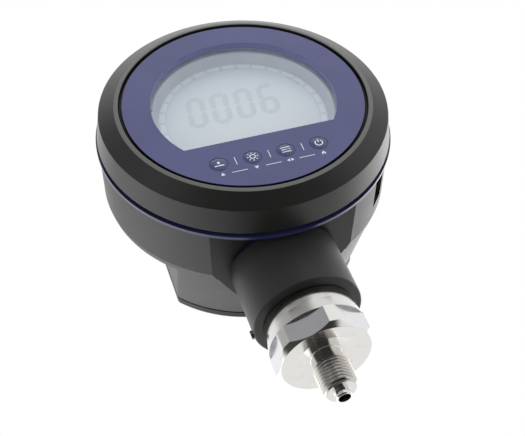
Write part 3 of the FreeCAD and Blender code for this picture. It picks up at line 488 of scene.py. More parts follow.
@dataclass(frozen=True)
class Ink(Finish):
    """A printed or switched mark, a little uneven in its cover."""

    colour: Colour
    ground: Colour
    cover: float = 0.9
    roughness: float = 0.45
    spot: float = 0.3

    def _paint(self, graph: Graph, place: Socket) -> None:
        """Fills the tree."""
        spots = graph.noise(place, self.spot * MM, 3.0).eased(0.25, 0.6)
        covered = self.cover + (spots - 0.5) * (1.0 - self.cover)
        graph.surface({
            "Base Color": graph.blend(covered, self.ground, self.colour),
            "Roughness": self.roughness + (spots - 0.5) * 0.1,
        })


@dataclass(frozen=True)
class BoardLaminate(Finish):
    """Green solder resist with faint tracks under it."""

    colour: Colour = (0.012, 0.12, 0.045)
    roughness: float = 0.3
    weave: float = 0.8
    track: float = 2.2
    relief: float = 0.03

    def _paint(self, graph: Graph, place: Socket) -> None:
        """Fills the tree."""
        across, along, up = graph.axes(place)
        threads = 1.0 / (self.weave * MM)
        weave = (across * threads).sine() * (up * threads).sine()
        drawn = graph.vector(across * 0.2, along, up)
        tracks = graph.noise(drawn, self.track * MM, 0.0).eased(0.52, 0.56)
        graph.surface({
            "Base Color": graph.blend(tracks * 0.6, self.colour, tinted(self.colour, 1.9)),
            "Roughness": self.roughness + weave * 0.05,
            "Normal": graph.bump(tracks + weave * 0.1, self.relief),
        })


@dataclass(frozen=True)
class CellJacket(Finish):
    """A battery's plain two-tone sleeve, with a metal end."""

    body: Colour = (0.02, 0.021, 0.024)
    band: Colour = (0.5, 0.3, 0.09)
    edge: float = 12.0
    roughness: float = 0.32
    foil: float = 0.8
    foil_depth: float = 0.004

    def _paint(self, graph: Graph, place: Socket) -> None:
        """Fills the tree."""
        banded = graph.axes(place)[0].above(self.edge * MM)
        foil = graph.noise(place, self.foil * MM, 2.0)
        graph.surface({
            "Base Color": graph.blend(banded, self.body, self.band),
            "Metallic": banded * 0.7,
            "Roughness": self.roughness + (foil - 0.5) * 0.14,
            "Normal": graph.bump(foil, self.foil_depth),
        })


class Shape:
    """Points and faces gathered for one piece, in metres."""

    def __init__(self) -> None:
        """Starts empty."""
        self.points: list[Vector] = []
        self.faces: list[tuple[int, ...]] = []
        self.marks: list[int] = []

    def add(self, points: Iterable[Vector], faces: Iterable[Sequence[int]]) -> None:
        """Adds points and the faces between them, in the first finish."""
        first = len(self.points)
        self.points.extend(points)
        for face in faces:
            self.faces.append(tuple(first + index for index in face))
            self.marks.append(0)

    def grid(self, rows: Sequence[Sequence[Vector]],
             marks: Callable[[int, int], int] = lambda row, column: 0,
             closed_rows: bool = False) -> None:
        """Adds a net of faces between rows of points that each close on themselves.

        Args:
            rows: Rings with the same number of points.
            marks: The finish's number for a row and column.
            closed_rows: Whether the last row joins the first.
        """
        first, width = len(self.points), len(rows[0])
        for points in rows:
            self.points.extend(points)
        count = len(rows) if closed_rows else len(rows) - 1
        for row in range(count):
            below = first + row * width
            above = first + ((row + 1) % len(rows)) * width
            for column in range(width):
                ahead = (column + 1) % width
                self.faces.append((below + column, below + ahead, above + ahead, above + column))
                self.marks.append(marks(row, column))

    def prism(self, outline: Sequence[Flat], foot: Height,
              thickness: float, place: Place) -> None:
        """Adds a thin plate of ink on a surface.

        Args:
            outline: Its corners, in millimetres.
            foot: The surface's height at a place.
            thickness: How far the plate stands proud.
            place: Turns across, up and out into the row frame.
        """
        count = len(outline)
        low = [place(x, y, foot(x, y) - thickness) for x, y in outline]
        high = [place(x, y, foot(x, y) + thickness) for x, y in outline]
        sides = [(i, (i + 1) % count, count + (i + 1) % count, count + i) for i in range(count)]
        self.add(low + high, [tuple(range(count))[::-1], tuple(range(count, 2 * count)), *sides])

    def mesh(self, name: str, finishes: Sequence[Material], crease: float = CREASE) -> Mesh:
        """Makes the tidied mesh, with sharp edges past an angle in degrees."""
        mesh = bpy.data.meshes.new(name)
        mesh.from_pydata(self.points, [], self.faces)
        for finish in finishes:
            mesh.materials.append(finish)
        mesh.polygons.foreach_set("material_index", self.marks)
        return tidied(mesh, crease)


def tidied(mesh: Mesh, crease: float = CREASE) -> Mesh:
    """Merges doubles, turns the faces outward and marks edges past an angle in degrees as sharp."""
    work = bmesh.new()
    work.from_mesh(mesh)
    bmesh.ops.remove_doubles(work, verts=work.verts, dist=DOUBLES)
    bmesh.ops.dissolve_degenerate(work, edges=work.edges, dist=SLIVERS)
    bmesh.ops.recalc_face_normals(work, faces=work.faces)
    work.to_mesh(mesh)
    work.free()
    mesh.shade_smooth()
    mesh.set_sharp_from_angle(angle=math.radians(crease))
    return mesh


def rounded(corners: Sequence[tuple[float, float, float]], steps: int = 6) -> list[Flat]:
    """A section line whose corners are rounded.

    Args:
        corners: Radius, height and rounding of each corner, in millimetres.
        steps: The parts of each round.

    Returns:
        The points of the line.
    """
    line: list[Flat] = []
    for index, (out, up, radius) in enumerate(corners):
        here = Vector((out, up))
        if radius <= 0.0 or index in (0, len(corners) - 1):
            line.append((out, up))
            continue
        before = (Vector(corners[index - 1][:2]) - here).normalized()
        after = (Vector(corners[index + 1][:2]) - here).normalized()
        half = before.angle(after) / 2
        reach = radius / math.tan(half)
        centre = here + (before + after).normalized() * (radius / math.sin(half))
        start, end = here + before * reach - centre, here + after * reach - centre
        for step in range(steps + 1):
            line.append(tuple(centre + start.slerp(end, step / steps) * radius))
    return line


def ring(place: Place, radius: float, height: float, steps: int) -> list[Vector]:
    """Points round the axis at a radius and height."""
    turns = [2.0 * math.pi * step / steps for step in range(steps)]
    return [place(radius * math.cos(turn), radius * math.sin(turn), height) for turn in turns]


def stroke(line: Sequence[Flat], width: float, closed: bool = False) -> list[list[Flat]]:
    """Four-cornered pieces of a drawn line of a width."""
    count = len(line)
    edges: list[tuple[Flat, Flat]] = []
    for index, (x, y) in enumerate(line):
        before = line[index - 1] if index or closed else line[index]
        after = line[(index + 1) % count] if index < count - 1 or closed else line[index]
        along = Vector((after[0] - before[0], after[1] - before[1])).normalized() * (width / 2)
        edges.append(((x - along.y, y + along.x), (x + along.y, y - along.x)))
    pairs = list(zip(edges, edges[1:] + edges[:1])) if closed else list(zip(edges, edges[1:]))
    return [[first[0], first[1], second[1], second[0]] for first, second in pairs]


def arc(centre: Flat, radius: float, start: float, end: float, steps: int) -> list[Flat]:
    """Points on an arc, its angles in degrees."""
    turns = [math.radians(start + (end - start) * step / steps) for step in range(steps + 1)]
    return [(centre[0] + radius * math.cos(turn), centre[1] + radius * math.sin(turn))
            for turn in turns]


def straight(start: Flat, end: Flat, steps: int = 1) -> list[Flat]:
    """Points on a straight line."""
    across, up = end[0] - start[0], end[1] - start[1]
    return [(start[0] + across * step / steps, start[1] + up * step / steps)
            for step in range(steps + 1)]


def on_neck(across: float, along: float, up: float) -> Vector:
    """A place in millimetres from the neck's origin."""
    return Vector((across, along, up)) * MM


def piece(name: str, mesh: Mesh, body: Body, replaces: Sequence[str] = ()) -> None:
    """Puts a finished mesh in the scene as a piece of the gauge.

    Args:
        name: The piece's name.
        mesh: Its mesh, with its place in it.
        body: The body that it moves with.
        replaces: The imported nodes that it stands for.
    """
    made = bpy.data.objects.new(name, mesh)
    bpy.context.scene.collection.objects.link(made)
    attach(made, body.value)
    if replaces:
        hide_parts(*replaces)
    LOG.info("piece %s: %d faces on %s", name, len(mesh.polygons), body.value)


def dress(node: str, finish: Material) -> None:
    """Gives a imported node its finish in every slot."""
    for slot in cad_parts[node].material_slots:
        slot.material = finish
    LOG.info("node %s: %s", node, finish.name)


def face_middle() -> float:
    """The height of the face's axis, in millimetres."""
    low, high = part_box("front_overlay")
    return (low.z + high.z) / 2 / MM


class Rule:
    """A Geometry Nodes tree with named inputs that is run once into a plain mesh."""

    def __init__(self, name: str, sizes: dict[str, float]) -> None:
        """Makes the tree with one input for each size."""
        self.name = name
        self.sizes = sizes
        tree = bpy.data.node_groups.new(name, "GeometryNodeTree")
        sockets = tree.interface
        sockets.new_socket(name="Geometry", in_out="OUTPUT", socket_type="NodeSocketGeometry")
        kinds = {int: "NodeSocketInt", float: "NodeSocketFloat"}
        self.sockets = {
            size: sockets.new_socket(name=size, in_out="INPUT", socket_type=kinds[type(value)])
            for size, value in sizes.items()}
        self.graph = Graph(tree)
        self.entry = self.graph.add("NodeGroupInput")

    def size(self, name: str) -> Value:
        """One of the tree's named inputs."""
        return Value(self.graph, self.entry.outputs[name])

    def run(self, geometry: Socket, finish: Material) -> Mesh:
        """Ends the tree, runs it and takes the result.

        Args:
            geometry: What the tree has made.
            finish: The finish that it gets.

        Returns:
            A plain mesh.
        """
        real = self.graph.add("GeometryNodeRealizeInstances", sockets={0: geometry})
        painted = self.graph.add("GeometryNodeSetMaterial", sockets={
            "Geometry": real.outputs[0], "Material": finish})
        self.graph.add("NodeGroupOutput", sockets={0: painted.outputs[0]})
        carrier = bpy.data.objects.new(self.name, bpy.data.meshes.new(self.name))
        bpy.context.scene.collection.objects.link(carrier)
        modifier = carrier.modifiers.new(self.name, "NODES")
        modifier.node_group = self.graph.tree
        for name, value in self.sizes.items():
            modifier[self.sockets[name].identifier] = value
        shown = bpy.context.evaluated_depsgraph_get()
        mesh = bpy.data.meshes.new_from_object(carrier.evaluated_get(shown))
        carrier.modifiers.remove(modifier)
        bpy.data.objects.remove(carrier)
        mesh.name = self.name
        return mesh


@dataclass
class Connection:
    """The steel connection: nose, thread, spanner flats and barrel."""

    across_flats: float = 33.2
    flats_turn: float = 7.5
    flats_top: float = 8.5
    hex_radius: float = 18.2
    thread_radius: float = 6.579
    thread_start: float = -3.0
    thread_end: float = -14.1
    thread_pitch: float = 1.337
    thread_depth: float = 0.856
    thread_chamfer: float = 1.1
    core_radius: float = 5.3
    shank_radius: float = 5.6
    thread_columns: int = 97
    rows_per_turn: int = 26
    run_out_slope: float = 1.3
    last_row: float = 0.9999
    thread_crease: float = 40.0
    sides: int = 6
    flat_columns: int = 8
    round_columns: int = 18
    hex_rows: int = 8
    ledge_room: float = 0.01
    touch: float = 1e-6
    corners: tuple[tuple[float, float, float], ...] = (
        (2.2, -16.7, 0.0), (2.4, -16.7, 0.08), (2.8, -16.3, 0.1), (2.8, -14.1, 0.15),
        (5.3, -14.1, 0.0), (5.3, -3.2, 0.0), (5.6, -3.2, 0.0), (5.6, 1.08, 0.35),
        (11.3, 0.0, 2.0), (16.5, 0.0, 0.25), (18.2, 1.8, 0.2), (18.2, 8.5, 0.0),
        (17.9, 8.501, 0.0), (17.2, 13.0, 8.0), (16.6, 18.5, 0.2), (15.8, 18.5, 0.0),
        (15.8, 19.2, 0.0), (14.2, 19.2, 0.0), (14.2, 22.0, 0.0), (15.8, 22.0, 0.0),
        (15.8, 27.0, 0.0), (13.8, 27.0, 0.0), (13.8, 29.4, 0.0), (15.8, 29.4, 0.0),
        (15.8, 33.3, 0.0), (12.0, 33.3, 0.0), (12.0, 38.9, 0.0), (11.2, 38.9, 0.0),
        (11.2, 40.2, 0.0), (12.0, 40.2, 0.0), (12.0, 43.0, 0.0), (8.0, 43.0, 0.0),
        (8.0, 35.0, 0.0), (2.2, 35.0, 0.0))

    def build(self) -> None:
        """Makes the body with its flats and the thread round it."""
        cuts = {
            Cut.TURNED: MachinedSteel("turned_steel", roughness=0.13, mark_depth=0.0025),
            Cut.FLAT: MachinedSteel("milled_steel", (0.66, 0.66, 0.68), 0.22, Lay.MILLED),
            Cut.LEDGE: MachinedSteel("ledge_steel", (0.7, 0.7, 0.71), 0.55, Lay.MILLED),
            Cut.BARREL: MachinedSteel("barrel_steel", (0.61, 0.6, 0.58), 0.16, mark_depth=0.0025)}
        body = self._body().mesh("connection_body", [cuts[cut].make() for cut in Cut])
        piece("connection_body", body, Body.CONNECTION, ["process_fitting"])
        rolled = MachinedSteel("thread_steel", (0.6, 0.58, 0.55), 0.08, mark_depth=0.0015).make()
        piece("connection_thread", self._thread(rolled), Body.CONNECTION)

    def dress(self) -> None:
        """Gives the pieces held in the connection their finishes."""
        dress("sensor_cell", MachinedSteel("capsule_steel", (0.6, 0.6, 0.61), 0.3).make())
        dress("retaining_ring", MachinedSteel("spring_steel", (0.32, 0.32, 0.34), 0.34).make())
        dress("stem_o_ring", MouldedPlastic("stem_rubber", shade(30, 30, 31), 0.6, 0.2).make())

    def _section(self) -> list[Flat]:
        """The section line, with more rows where the cones meet the flats."""
        line: list[Flat] = []
        points = rounded(self.corners)
        half = self.across_flats / 2
        for (out, up), (next_out, next_up) in zip(points, points[1:] + points[:1]):
            line.append((out, up))
            widen, rise = next_out - out, next_up - up
            crosses = (out - half) * (next_out - half) < 0.0
            if not crosses or min(up, next_up) < 0.0 or next_up > self.flats_top:
                continue
            start = (half - out) / widen
            steps = [(step / self.hex_rows) ** 2 for step in range(self.hex_rows)]
            if out < half:
                shares = [start + (1.0 - start) * step for step in steps]
            else:
                shares = [start * (1.0 - step) for step in steps][::-1]
            line += [(out + widen * share, up + rise * share) for share in shares if share > 0.0]
        return line

    def _row(self, out: float, up: float) -> list[Vector]:
        """One ring of the body, drawn in at the flats."""
        half = self.across_flats / 2
        flat = 0.0 <= up <= self.flats_top and out > half
        reach = math.acos(half / (self.hex_radius if up > self.flats_top else max(out, half)))
        rest = math.radians(360.0 / self.sides) - 2.0 * reach
        flats, rounds = self.flat_columns, self.round_columns
        turns = [reach * step / flats for step in range(-flats, flats + 1)]
        turns += [reach + rest * step / (rounds + 1) for step in range(1, rounds + 1)]
        points: list[Vector] = []
        for side in range(self.sides):
            middle = math.radians(self.flats_turn + 360.0 / self.sides * side)
            for turn in turns:
                radius = half / math.cos(turn) if flat and abs(turn) <= reach else out
                way = middle + turn
                points.append(on_neck(radius * math.cos(way), radius * math.sin(way), up))
        return points

    def _body(self) -> Shape:
        """The turned body with its six flats."""
        shape = Shape()
        line = self._section()
        sector = 2 * self.flat_columns + 1 + self.round_columns
        half = self.across_flats / 2

        def mark(row: int, column: int) -> Cut:
            """The cut of one face of the net."""
            (out, up), (next_out, next_up) = line[row], line[(row + 1) % len(line)]
            lowest = min(up, next_up)
            if lowest > self.flats_top:
                return Cut.BARREL
            on_flat = column % sector < 2 * self.flat_columns
            level = 0.0 <= lowest and max(up, next_up) <= self.flats_top + self.ledge_room
            if not on_flat or not level or min(out, next_out) < half - self.touch:
                return Cut.TURNED
            return Cut.LEDGE if lowest >= self.flats_top else Cut.FLAT

        shape.grid([self._row(out, up) for out, up in line], mark, closed_rows=True)
        return shape

    def _thread(self, finish: Material) -> Mesh:
        """The thread: a net wound round the axis whose radius follows the thread's rule."""
        turns = (self.thread_start - self.thread_end) / self.thread_pitch
        rule = Rule("connection_thread", {
            "Around": self.thread_columns, "Rows": int(turns * self.rows_per_turn),
            "Radius": self.thread_radius * MM, "Depth": self.thread_depth * MM,
            "Pitch": self.thread_pitch * MM, "Start": self.thread_start * MM,
            "End": self.thread_end * MM, "Chamfer": self.thread_chamfer * MM,
            "Core": self.core_radius * MM, "Shank": self.shank_radius * MM})
        graph, size = rule.graph, rule.size
        net = graph.add("GeometryNodeMeshGrid", sockets={
            "Size X": 1.0, "Size Y": 1.0, "Vertices X": size("Around"), "Vertices Y": size("Rows")})
        across, along, _ = graph.axes(graph.add("GeometryNodeInputPosition").outputs[0])
        around, down = across + 0.5, along + 0.5
        height = size("Start") + (size("End") - size("Start")) * down
        phase = (height / size("Pitch") + around).wrapped()
        groove = 0.5 - (phase * (2.0 * math.pi)).cosine() * 0.5
        cut = size("Radius") - size("Depth") * groove
        run_out = size("Shank") + (size("Start") - height) * self.run_out_slope
        lead = size("Radius") - size("Chamfer") + (height - size("End"))
        last = down.above(self.last_row)
        radius = cut.least(run_out).least(lead) * (1.0 - last) + size("Core") * last
        turn = around * (2.0 * math.pi)
        wound = graph.add("GeometryNodeSetPosition", sockets={
            "Geometry": net.outputs["Mesh"],
            "Position": graph.vector(radius * turn.cosine(), radius * turn.sine(), height)})
        joined = graph.add("GeometryNodeMergeByDistance", sockets={
            "Geometry": wound.outputs[0], "Distance": DOUBLES})
        return tidied(rule.run(joined.outputs[0], finish), self.thread_crease)


@dataclass
class Housing:
    """The black cover, the bezel, the navy case between them, and the battery lid."""

    bezel_black: Colour = (0.012, 0.0122, 0.0112)
    cover_black: Colour = (0.02, 0.02, 0.0195)
    edge_round: float = 0.4
    edge_steps: int = 2
    edge_angle: float = 25.0
    navy: Colour = (0.018, 0.02, 0.068)

    def dress(self) -> None:
        """Gives the housing's nodes their finishes."""
        cover = MouldedPlastic("cover_plastic", self.cover_black, roughness=0.44, grain=0.4,
                               grain_depth=0.003, gloss=0.38, mottle=0.05, rub=0.025).make()
        # the bezel's pale ring next to the face is a painted highlight
        bezel = HighlightRimPlastic("bezel_plastic", self.bezel_black, roughness=0.34, grain=0.3,
                              grain_depth=0.0012, gloss=0.45, mottle=0.06, rub=0.02,
                              middle=face_middle()).make()
        rubber = MouldedPlastic("seal_rubber", shade(14, 14, 15), 0.62, 0.25).make()
        screw = MachinedSteel("screw_steel", (0.3, 0.3, 0.31), 0.38).make()
        for node in ("rear_cover", "battery_lid"):
            dress(node, cover)
        dress("front_bezel", bezel)
        for node in ("front_bezel", "rear_cover", "battery_lid"):
            self._round_edges(node)
        dress("main_case", CastPaint("case_paint", self.navy).make())
        for node in ("face_seal", "case_gasket", "lid_gasket"):
            dress(node, rubber)
        for node in ("lid_screws", "board_screws"):
            dress(node, screw)
        dress("stop_screw", MachinedSteel("stop_screw_steel", (0.2, 0.2, 0.21), 0.36).make())
        dress("swivel_bush", MouldedPlastic("bush_plastic", shade(120, 118, 112), 0.4).make())

    def _round_edges(self, node: str) -> None:
        """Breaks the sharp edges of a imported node, as a mould does."""
        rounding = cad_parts[node].modifiers.new("edge_round", "BEVEL")
        rounding.width = self.edge_round * MM
        rounding.segments = self.edge_steps
        rounding.limit_method = "ANGLE"
        rounding.angle_limit = math.radians(self.edge_angle)
        rounding.harden_normals = True


class Marked:
    """A level surface of the face that carries marks of ink."""

    ink_height: float = 0.02
    level: float
    middle: float

    def place(self, across: float, up: float, out: float) -> Vector:
        """A place given across, up and out of the surface, in millimetres."""
        return Vector((across, -self.level - out, self.middle + up)) * MM

    def inked(self, outlines: Iterable[Sequence[Flat]], foot: Height) -> Shape:
        """Thin plates of ink, on a surface whose height at a place is given."""
        shape = Shape()
        for outline in outlines:
            shape.prism(outline, foot, self.ink_height, self.place)
        return shape


@dataclass
class FacePlate(Marked):
    """The blue face with its four keys and its white print."""

    key_radius: float = 3.15
    key_lip: float = 3.36
    key_crown: float = 3.69
    key_rim: float = 3.12
    key_foot: float = 0.6
    lip_foot: float = 0.6
    lip_edge: float = 0.4
    key_curve: float = 3.0
    key_steps: int = 14
    key_columns: int = 64
    key_crease: float = 30.0
    flange_radius: float = 4.0
    flange_foot: float = -0.6
    stem_radius: float = 1.6
    stem_foot: float = -6.3
    plate_height: float = 3.3
    signs_drop: float = 5.2
    separator: float = 1.9
    dash: float = 2.9
    line_width: float = 0.26
    blue: Colour = (0.07, 0.075, 0.2)
    white: Colour = (0.83, 0.84, 0.88)
    arrows: tuple[tuple[tuple[Flat, ...], ...], ...] = (
        (((-0.8, -0.6), (0.8, -0.6), (0.0, 0.8)),),
        (((0.8, 0.6), (-0.8, 0.6), (0.0, -0.8)),),
        (((-0.25, -0.75), (-0.25, 0.75), (-1.35, 0.0)), ((1.35, 0.0), (0.25, 0.75), (0.25, -0.75))),
        (((-0.7, -0.7), (-0.25, -0.7), (-0.25, -0.1), (0.25, -0.1), (0.25, -0.7), (0.7, -0.7),
          (0.7, 0.1), (0.0, 0.85), (-0.7, 0.1)),))

    def __post_init__(self) -> None:
        """Reads the face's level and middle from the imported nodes."""
        self.middle = face_middle()
        self.top = -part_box("front_overlay")[0].y / MM
        self.level = self.top - self.plate_height

    def build(self) -> None:
        """Makes the keys and the print."""
        film = FaceFilm("key_film", tinted(self.blue, 0.85), roughness=0.22).make()
        ink = Ink("white_ink", self.white, self.blue).make()
        keys = ((Body.ZERO_KEY, "zero", self._zero_icon()),
                (Body.LIGHT_KEY, "light", self._sun_icon()),
                (Body.MENU_KEY, "menu", self._menu_icon()),
                (Body.POWER_KEY, "power", self._power_icon()))
        for body, name, icon in keys:
            node = "key_" + name
            centre = self._centre(node)
            cap = self._cap(centre).mesh(node, [film], self.key_crease)
            piece("cap_" + name, cap, body, [node])
            moved = [[(x + centre[0], y + centre[1]) for x, y in outline] for outline in icon]
            sign = self.inked(moved, lambda x, y: self._crown(x - centre[0], y - centre[1]))
            piece("sign_" + name, sign.mesh(node, [ink]), body)
        piece("face_print", self._print().mesh("face_print", [ink]), Body.HOUSING)

    def dress(self) -> None:
        """Gives the face plate and its carrier their finishes."""
        film = FaceFilm("face_film", self.blue, level=self.top, middle=self.middle)
        dress("front_overlay", film.make())
        dress("face_carrier", MouldedPlastic("carrier_plastic", shade(196, 200, 212), 0.5).make())

    def _centre(self, node: str) -> Flat:
        """A key's middle on the face."""
        low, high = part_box(node)
        return (low.x + high.x) / 2 / MM, (low.z + high.z) / 2 / MM - self.middle

    def _crown(self, x: float, y: float) -> float:
        """The height of a key's domed top."""
        share = min(1.0, math.hypot(x, y) / self.key_lip)
        return self.key_crown - (self.key_crown - self.key_rim) * share ** self.key_curve

    def _cap(self, centre: Flat) -> Shape:
        """A key: domed cap, flange and stem."""
        steps = [self.key_lip * step / self.key_steps for step in range(self.key_steps + 1)]
        dome = [(out, self._crown(out, 0.0)) for out in steps]
        section = [(0.0, self.stem_foot), (self.stem_radius, self.stem_foot),
                   (self.stem_radius, self.flange_foot), (self.flange_radius, self.flange_foot),
                   (self.flange_radius, self.key_foot), (self.key_radius, self.key_foot),
                   (self.key_radius, self.key_rim - self.lip_foot),
                   (self.key_lip, self.key_rim - self.lip_edge)]

        def place(across: float, up: float, out: float) -> Vector:
            """A place counted from the key's middle."""
            return self.place(centre[0] + across, centre[1] + up, out)

        shape = Shape()
        shape.grid([ring(place, out, up, self.key_columns) for out, up in section + dome[::-1]])
        return shape

    def _zero_icon(self) -> list[list[Flat]]:
        """A dot over a bar."""
        dot = arc((0.0, 0.45), 0.55, 0, 330, 11)
        return [dot, *stroke(straight((-1.7, -1.0), (1.7, -1.0), 6), 0.5)]

    def _sun_icon(self) -> list[list[Flat]]:
        """A ring with eight rays."""
        marks = stroke(arc((0.0, 0.0), 0.95, 0, 350, 35), 0.36, closed=True)
        for turn in range(0, 360, 45):
            way = (math.cos(math.radians(turn)), math.sin(math.radians(turn)))
            ray = straight((way[0] * 1.5, way[1] * 1.5), (way[0] * 2.1, way[1] * 2.1), 2)
            marks += stroke(ray, 0.36)
        return marks

    def _menu_icon(self) -> list[list[Flat]]:
        """Three level lines."""
        lines = [straight((-1.7, up), (1.7, up), 6) for up in (-1.1, 0.0, 1.1)]
        return [quad for line in lines for quad in stroke(line, 0.42)]

    def _power_icon(self) -> list[list[Flat]]:
        """An open ring with an upright bar."""
        lines = (arc((0.0, -0.1), 1.35, 125, 415, 29), straight((0.0, 0.2), (0.0, 1.75), 4))
        return [quad for line in lines for quad in stroke(line, 0.4)]

    def _print(self) -> Shape:
        """The print on the plate: separators, arrows and the dashes between them."""
        keys = [self._centre(node) for node in ("key_zero", "key_light", "key_menu", "key_power")]
        row = keys[0][1]
        signs = row - self.signs_drop
        outlines: list[list[Flat]] = []
        for (left, _), (right, _) in zip(keys, keys[1:]):
            middle = (left + right) / 2
            upright = (middle, row - self.separator), (middle, row + self.separator)
            level = (middle - self.dash, signs), (middle + self.dash, signs)
            outlines += stroke(upright, self.line_width) + stroke(level, self.line_width)
        for (across, _), arrows in zip(keys, self.arrows):
            outlines += [[(across + x, signs + y) for x, y in arrow] for arrow in arrows]
        return self.inked(outlines, lambda x, y: self.plate_height)


@dataclass
class Display(Marked):
    """The window, the grey frame, the liquid crystal and what it shows."""

    digit_height: float = 15.2
    digit_width: float = 5.2
    digit_pitch: float = 9.45
    digit_slant: float = 0.106
    bar: float = 2.2
    bar_gap: float = 0.06
    first_digit: float = -19.5
    digit_foot: float = -0.1
    track_radius: float = 29.2
    track_width: float = 0.35
    track_steps: int = 84
    rung_start: float = 0.2
    rung_end: float = 31.7
    block_radius: float = 30.5
    block_width: float = 4.8
    block_height: float = 1.8
    rungs: int = 22
    sweep_start: float = -36.0
    sweep: float = 252.0
    glass_reach: float = 30.0
    reading: str = "0006"
    segments: dict[str, str] = field(default_factory=lambda: {"0": "abcdef", "6": "afgecd"})

    def __post_init__(self) -> None:
        """Reads the glass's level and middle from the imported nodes."""
        self.middle = face_middle()
        self.level = -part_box("lcd_panel")[0].y / MM

    def build(self) -> None:
        """Makes the digits and the scale blocks at the edge of the glass."""
        ground = shade(220, 226, 232)
        ink = Ink("segment_ink", shade(206, 212, 220), ground).make()
        pale = Ink("scale_ink", shade(232, 237, 246), ground, cover=0.85).make()
        line = Ink("track_ink", shade(211, 216, 224), ground).make()
        digits = self._digits().mesh("display_digits", [ink])
        track = self._track().mesh("display_track", [line])
        piece("display_digits", digits, Body.HOUSING)
        piece("display_track", track, Body.HOUSING)
        piece("display_scale", self._scale(pale), Body.HOUSING)

    def dress(self) -> None:
        """Gives the display's nodes their finishes."""
        dress("display_window", ClearWindow("window_clear").make())
        grey = MouldedPlastic("frame_grey", shade(190, 194, 204), 0.5, mottle=0.05)
        # the glass's darker colour at its top is painted shade
        glass = DisplayGlass("display_glass", shade(222, 226, 230), shade(217, 224, 233),
                             self.middle, self.glass_reach)
        dress("display_frame", grey.make())
        dress("lcd_panel", glass.make())
        dress("lcd_backlight", MouldedPlastic("light_guide", shade(225, 228, 230), 0.25).make())
        dress("lcd_contact_strip", MouldedPlastic("strip_rubber", shade(190, 120, 130), 0.6).make())

    def _digits(self) -> Shape:
        """The faint seven-bar digits of the reading."""
        outlines: list[list[Flat]] = []
        for index, sign in enumerate(self.reading):
            left = self.first_digit + index * self.digit_pitch
            for name in self.segments[sign]:
                outlines.append([(left + x + self.digit_slant * y, self.digit_foot + y)
                                 for x, y in self._bar(name)])
        return self.inked(outlines, lambda x, y: 0.0)

    def _track(self) -> Shape:
        """The thin line inside the round scale and the rungs between its blocks."""
        end = self.sweep_start + self.sweep
        line = arc((0.0, 0.0), self.track_radius, self.sweep_start, end, self.track_steps)
        outlines = stroke(line, self.track_width)
        reach = self.track_radius + self.rung_start, self.rung_end
        for rung in range(self.rungs + 1):
            turn = math.radians(self.sweep_start + self.sweep * rung / self.rungs)
            ends = [(out * math.cos(turn), out * math.sin(turn)) for out in reach]
            outlines += stroke(ends, self.track_width)
        return self.inked(outlines, lambda x, y: 0.0)

    def _bar(self, name: str) -> list[Flat]:
        """The outline of one bar of a digit, with pointed ends."""
        wide, high, half = self.digit_width, self.digit_height, self.bar / 2
        joints = {"a": ((0, high), (wide, high)), "b": ((wide, high), (wide, high / 2)),
                  "c": ((wide, high / 2), (wide, 0)), "d": ((wide, 0), (0, 0)),
                  "e": ((0, 0), (0, high / 2)), "f": ((0, high / 2), (0, high)),
                  "g": ((0, high / 2), (wide, high / 2))}
        start, end = (Vector(joint) for joint in joints[name])
        along = (end - start).normalized()
        aside = Vector((-along.y, along.x)) * half
        start, end = start + along * self.bar_gap, end - along * self.bar_gap
        first, last = start + along * half, end - along * half
        outline = (start, first - aside, last - aside, end, last + aside, first + aside)
        return [tuple(point) for point in outline]

    def _scale(self, finish: Material) -> Mesh:
        """The blocks of the round scale, set out along the edge of the glass."""
        half_step = self.sweep / self.rungs / 2
        rule = Rule("display_scale", {
            "Radius": self.block_radius * MM, "Count": self.rungs, "Wide": self.block_width * MM,
            "High": self.block_height * MM, "Thick": 2.0 * self.ink_height * MM,
            "From": math.radians(self.sweep_start + half_step),
            "Sweep": math.radians(self.sweep - 2.0 * half_step)})
        graph, size = rule.graph, rule.size
        track = graph.add("GeometryNodeCurveArc", {"mode": "RADIUS"}, {
            "Resolution": size("Count"), "Radius": size("Radius"), "Start Angle": size("From"),
            "Sweep Angle": size("Sweep")})
        spots = graph.add("GeometryNodeCurveToPoints", {"mode": "EVALUATED"},
                          {"Curve": track.outputs[0]})
        block = graph.add("GeometryNodeMeshCube", sockets={
            "Size": graph.vector(size("High"), size("Wide"), size("Thick"))})
        laid = graph.add("GeometryNodeInstanceOnPoints", sockets={
            "Points": spots.outputs["Points"], "Instance": block.outputs[0],
            "Rotation": self._facing(graph)})
        mesh = rule.run(laid.outputs[0], finish)
        upright = Matrix.Rotation(math.radians(90.0), 4, "X")
        mesh.transform(Matrix.Translation(self.place(0.0, 0.0, 0.0)) @ upright)
        return tidied(mesh)

    @staticmethod
    def _facing(graph: Graph) -> Socket:
        """A turn that points each block away from the middle of the glass."""
        place = graph.add("GeometryNodeInputPosition").outputs[0]
        turned = graph.add("FunctionNodeAlignRotationToVector", {"axis": "X", "pivot_axis": "Z"},
                           {"Vector": place})
        return turned.outputs[0]


@dataclass
class Inside:
    """What the closed case holds: board, switches, lead, cells and contacts."""

    def dress(self) -> None:
        """Gives the inner nodes their finishes."""
        black = MouldedPlastic("switch_black", shade(34, 34, 36), 0.4).make()
        metal = MachinedSteel("contact_metal", (0.7, 0.69, 0.64), 0.28, Lay.MILLED).make()
        dress("main_board", BoardLaminate("board_laminate").make())
        dress("key_switches", black)
        dress("sensor_socket", black)
        dress("sensor_lead", MouldedPlastic("lead_jacket", shade(60, 62, 66), 0.5).make())
        for node in ("battery_cell_1", "battery_cell_2"):
            dress(node, CellJacket(node + "_jacket").make())
        for node in ("bridge_contact", "terminal_contacts"):
            dress(node, metal)


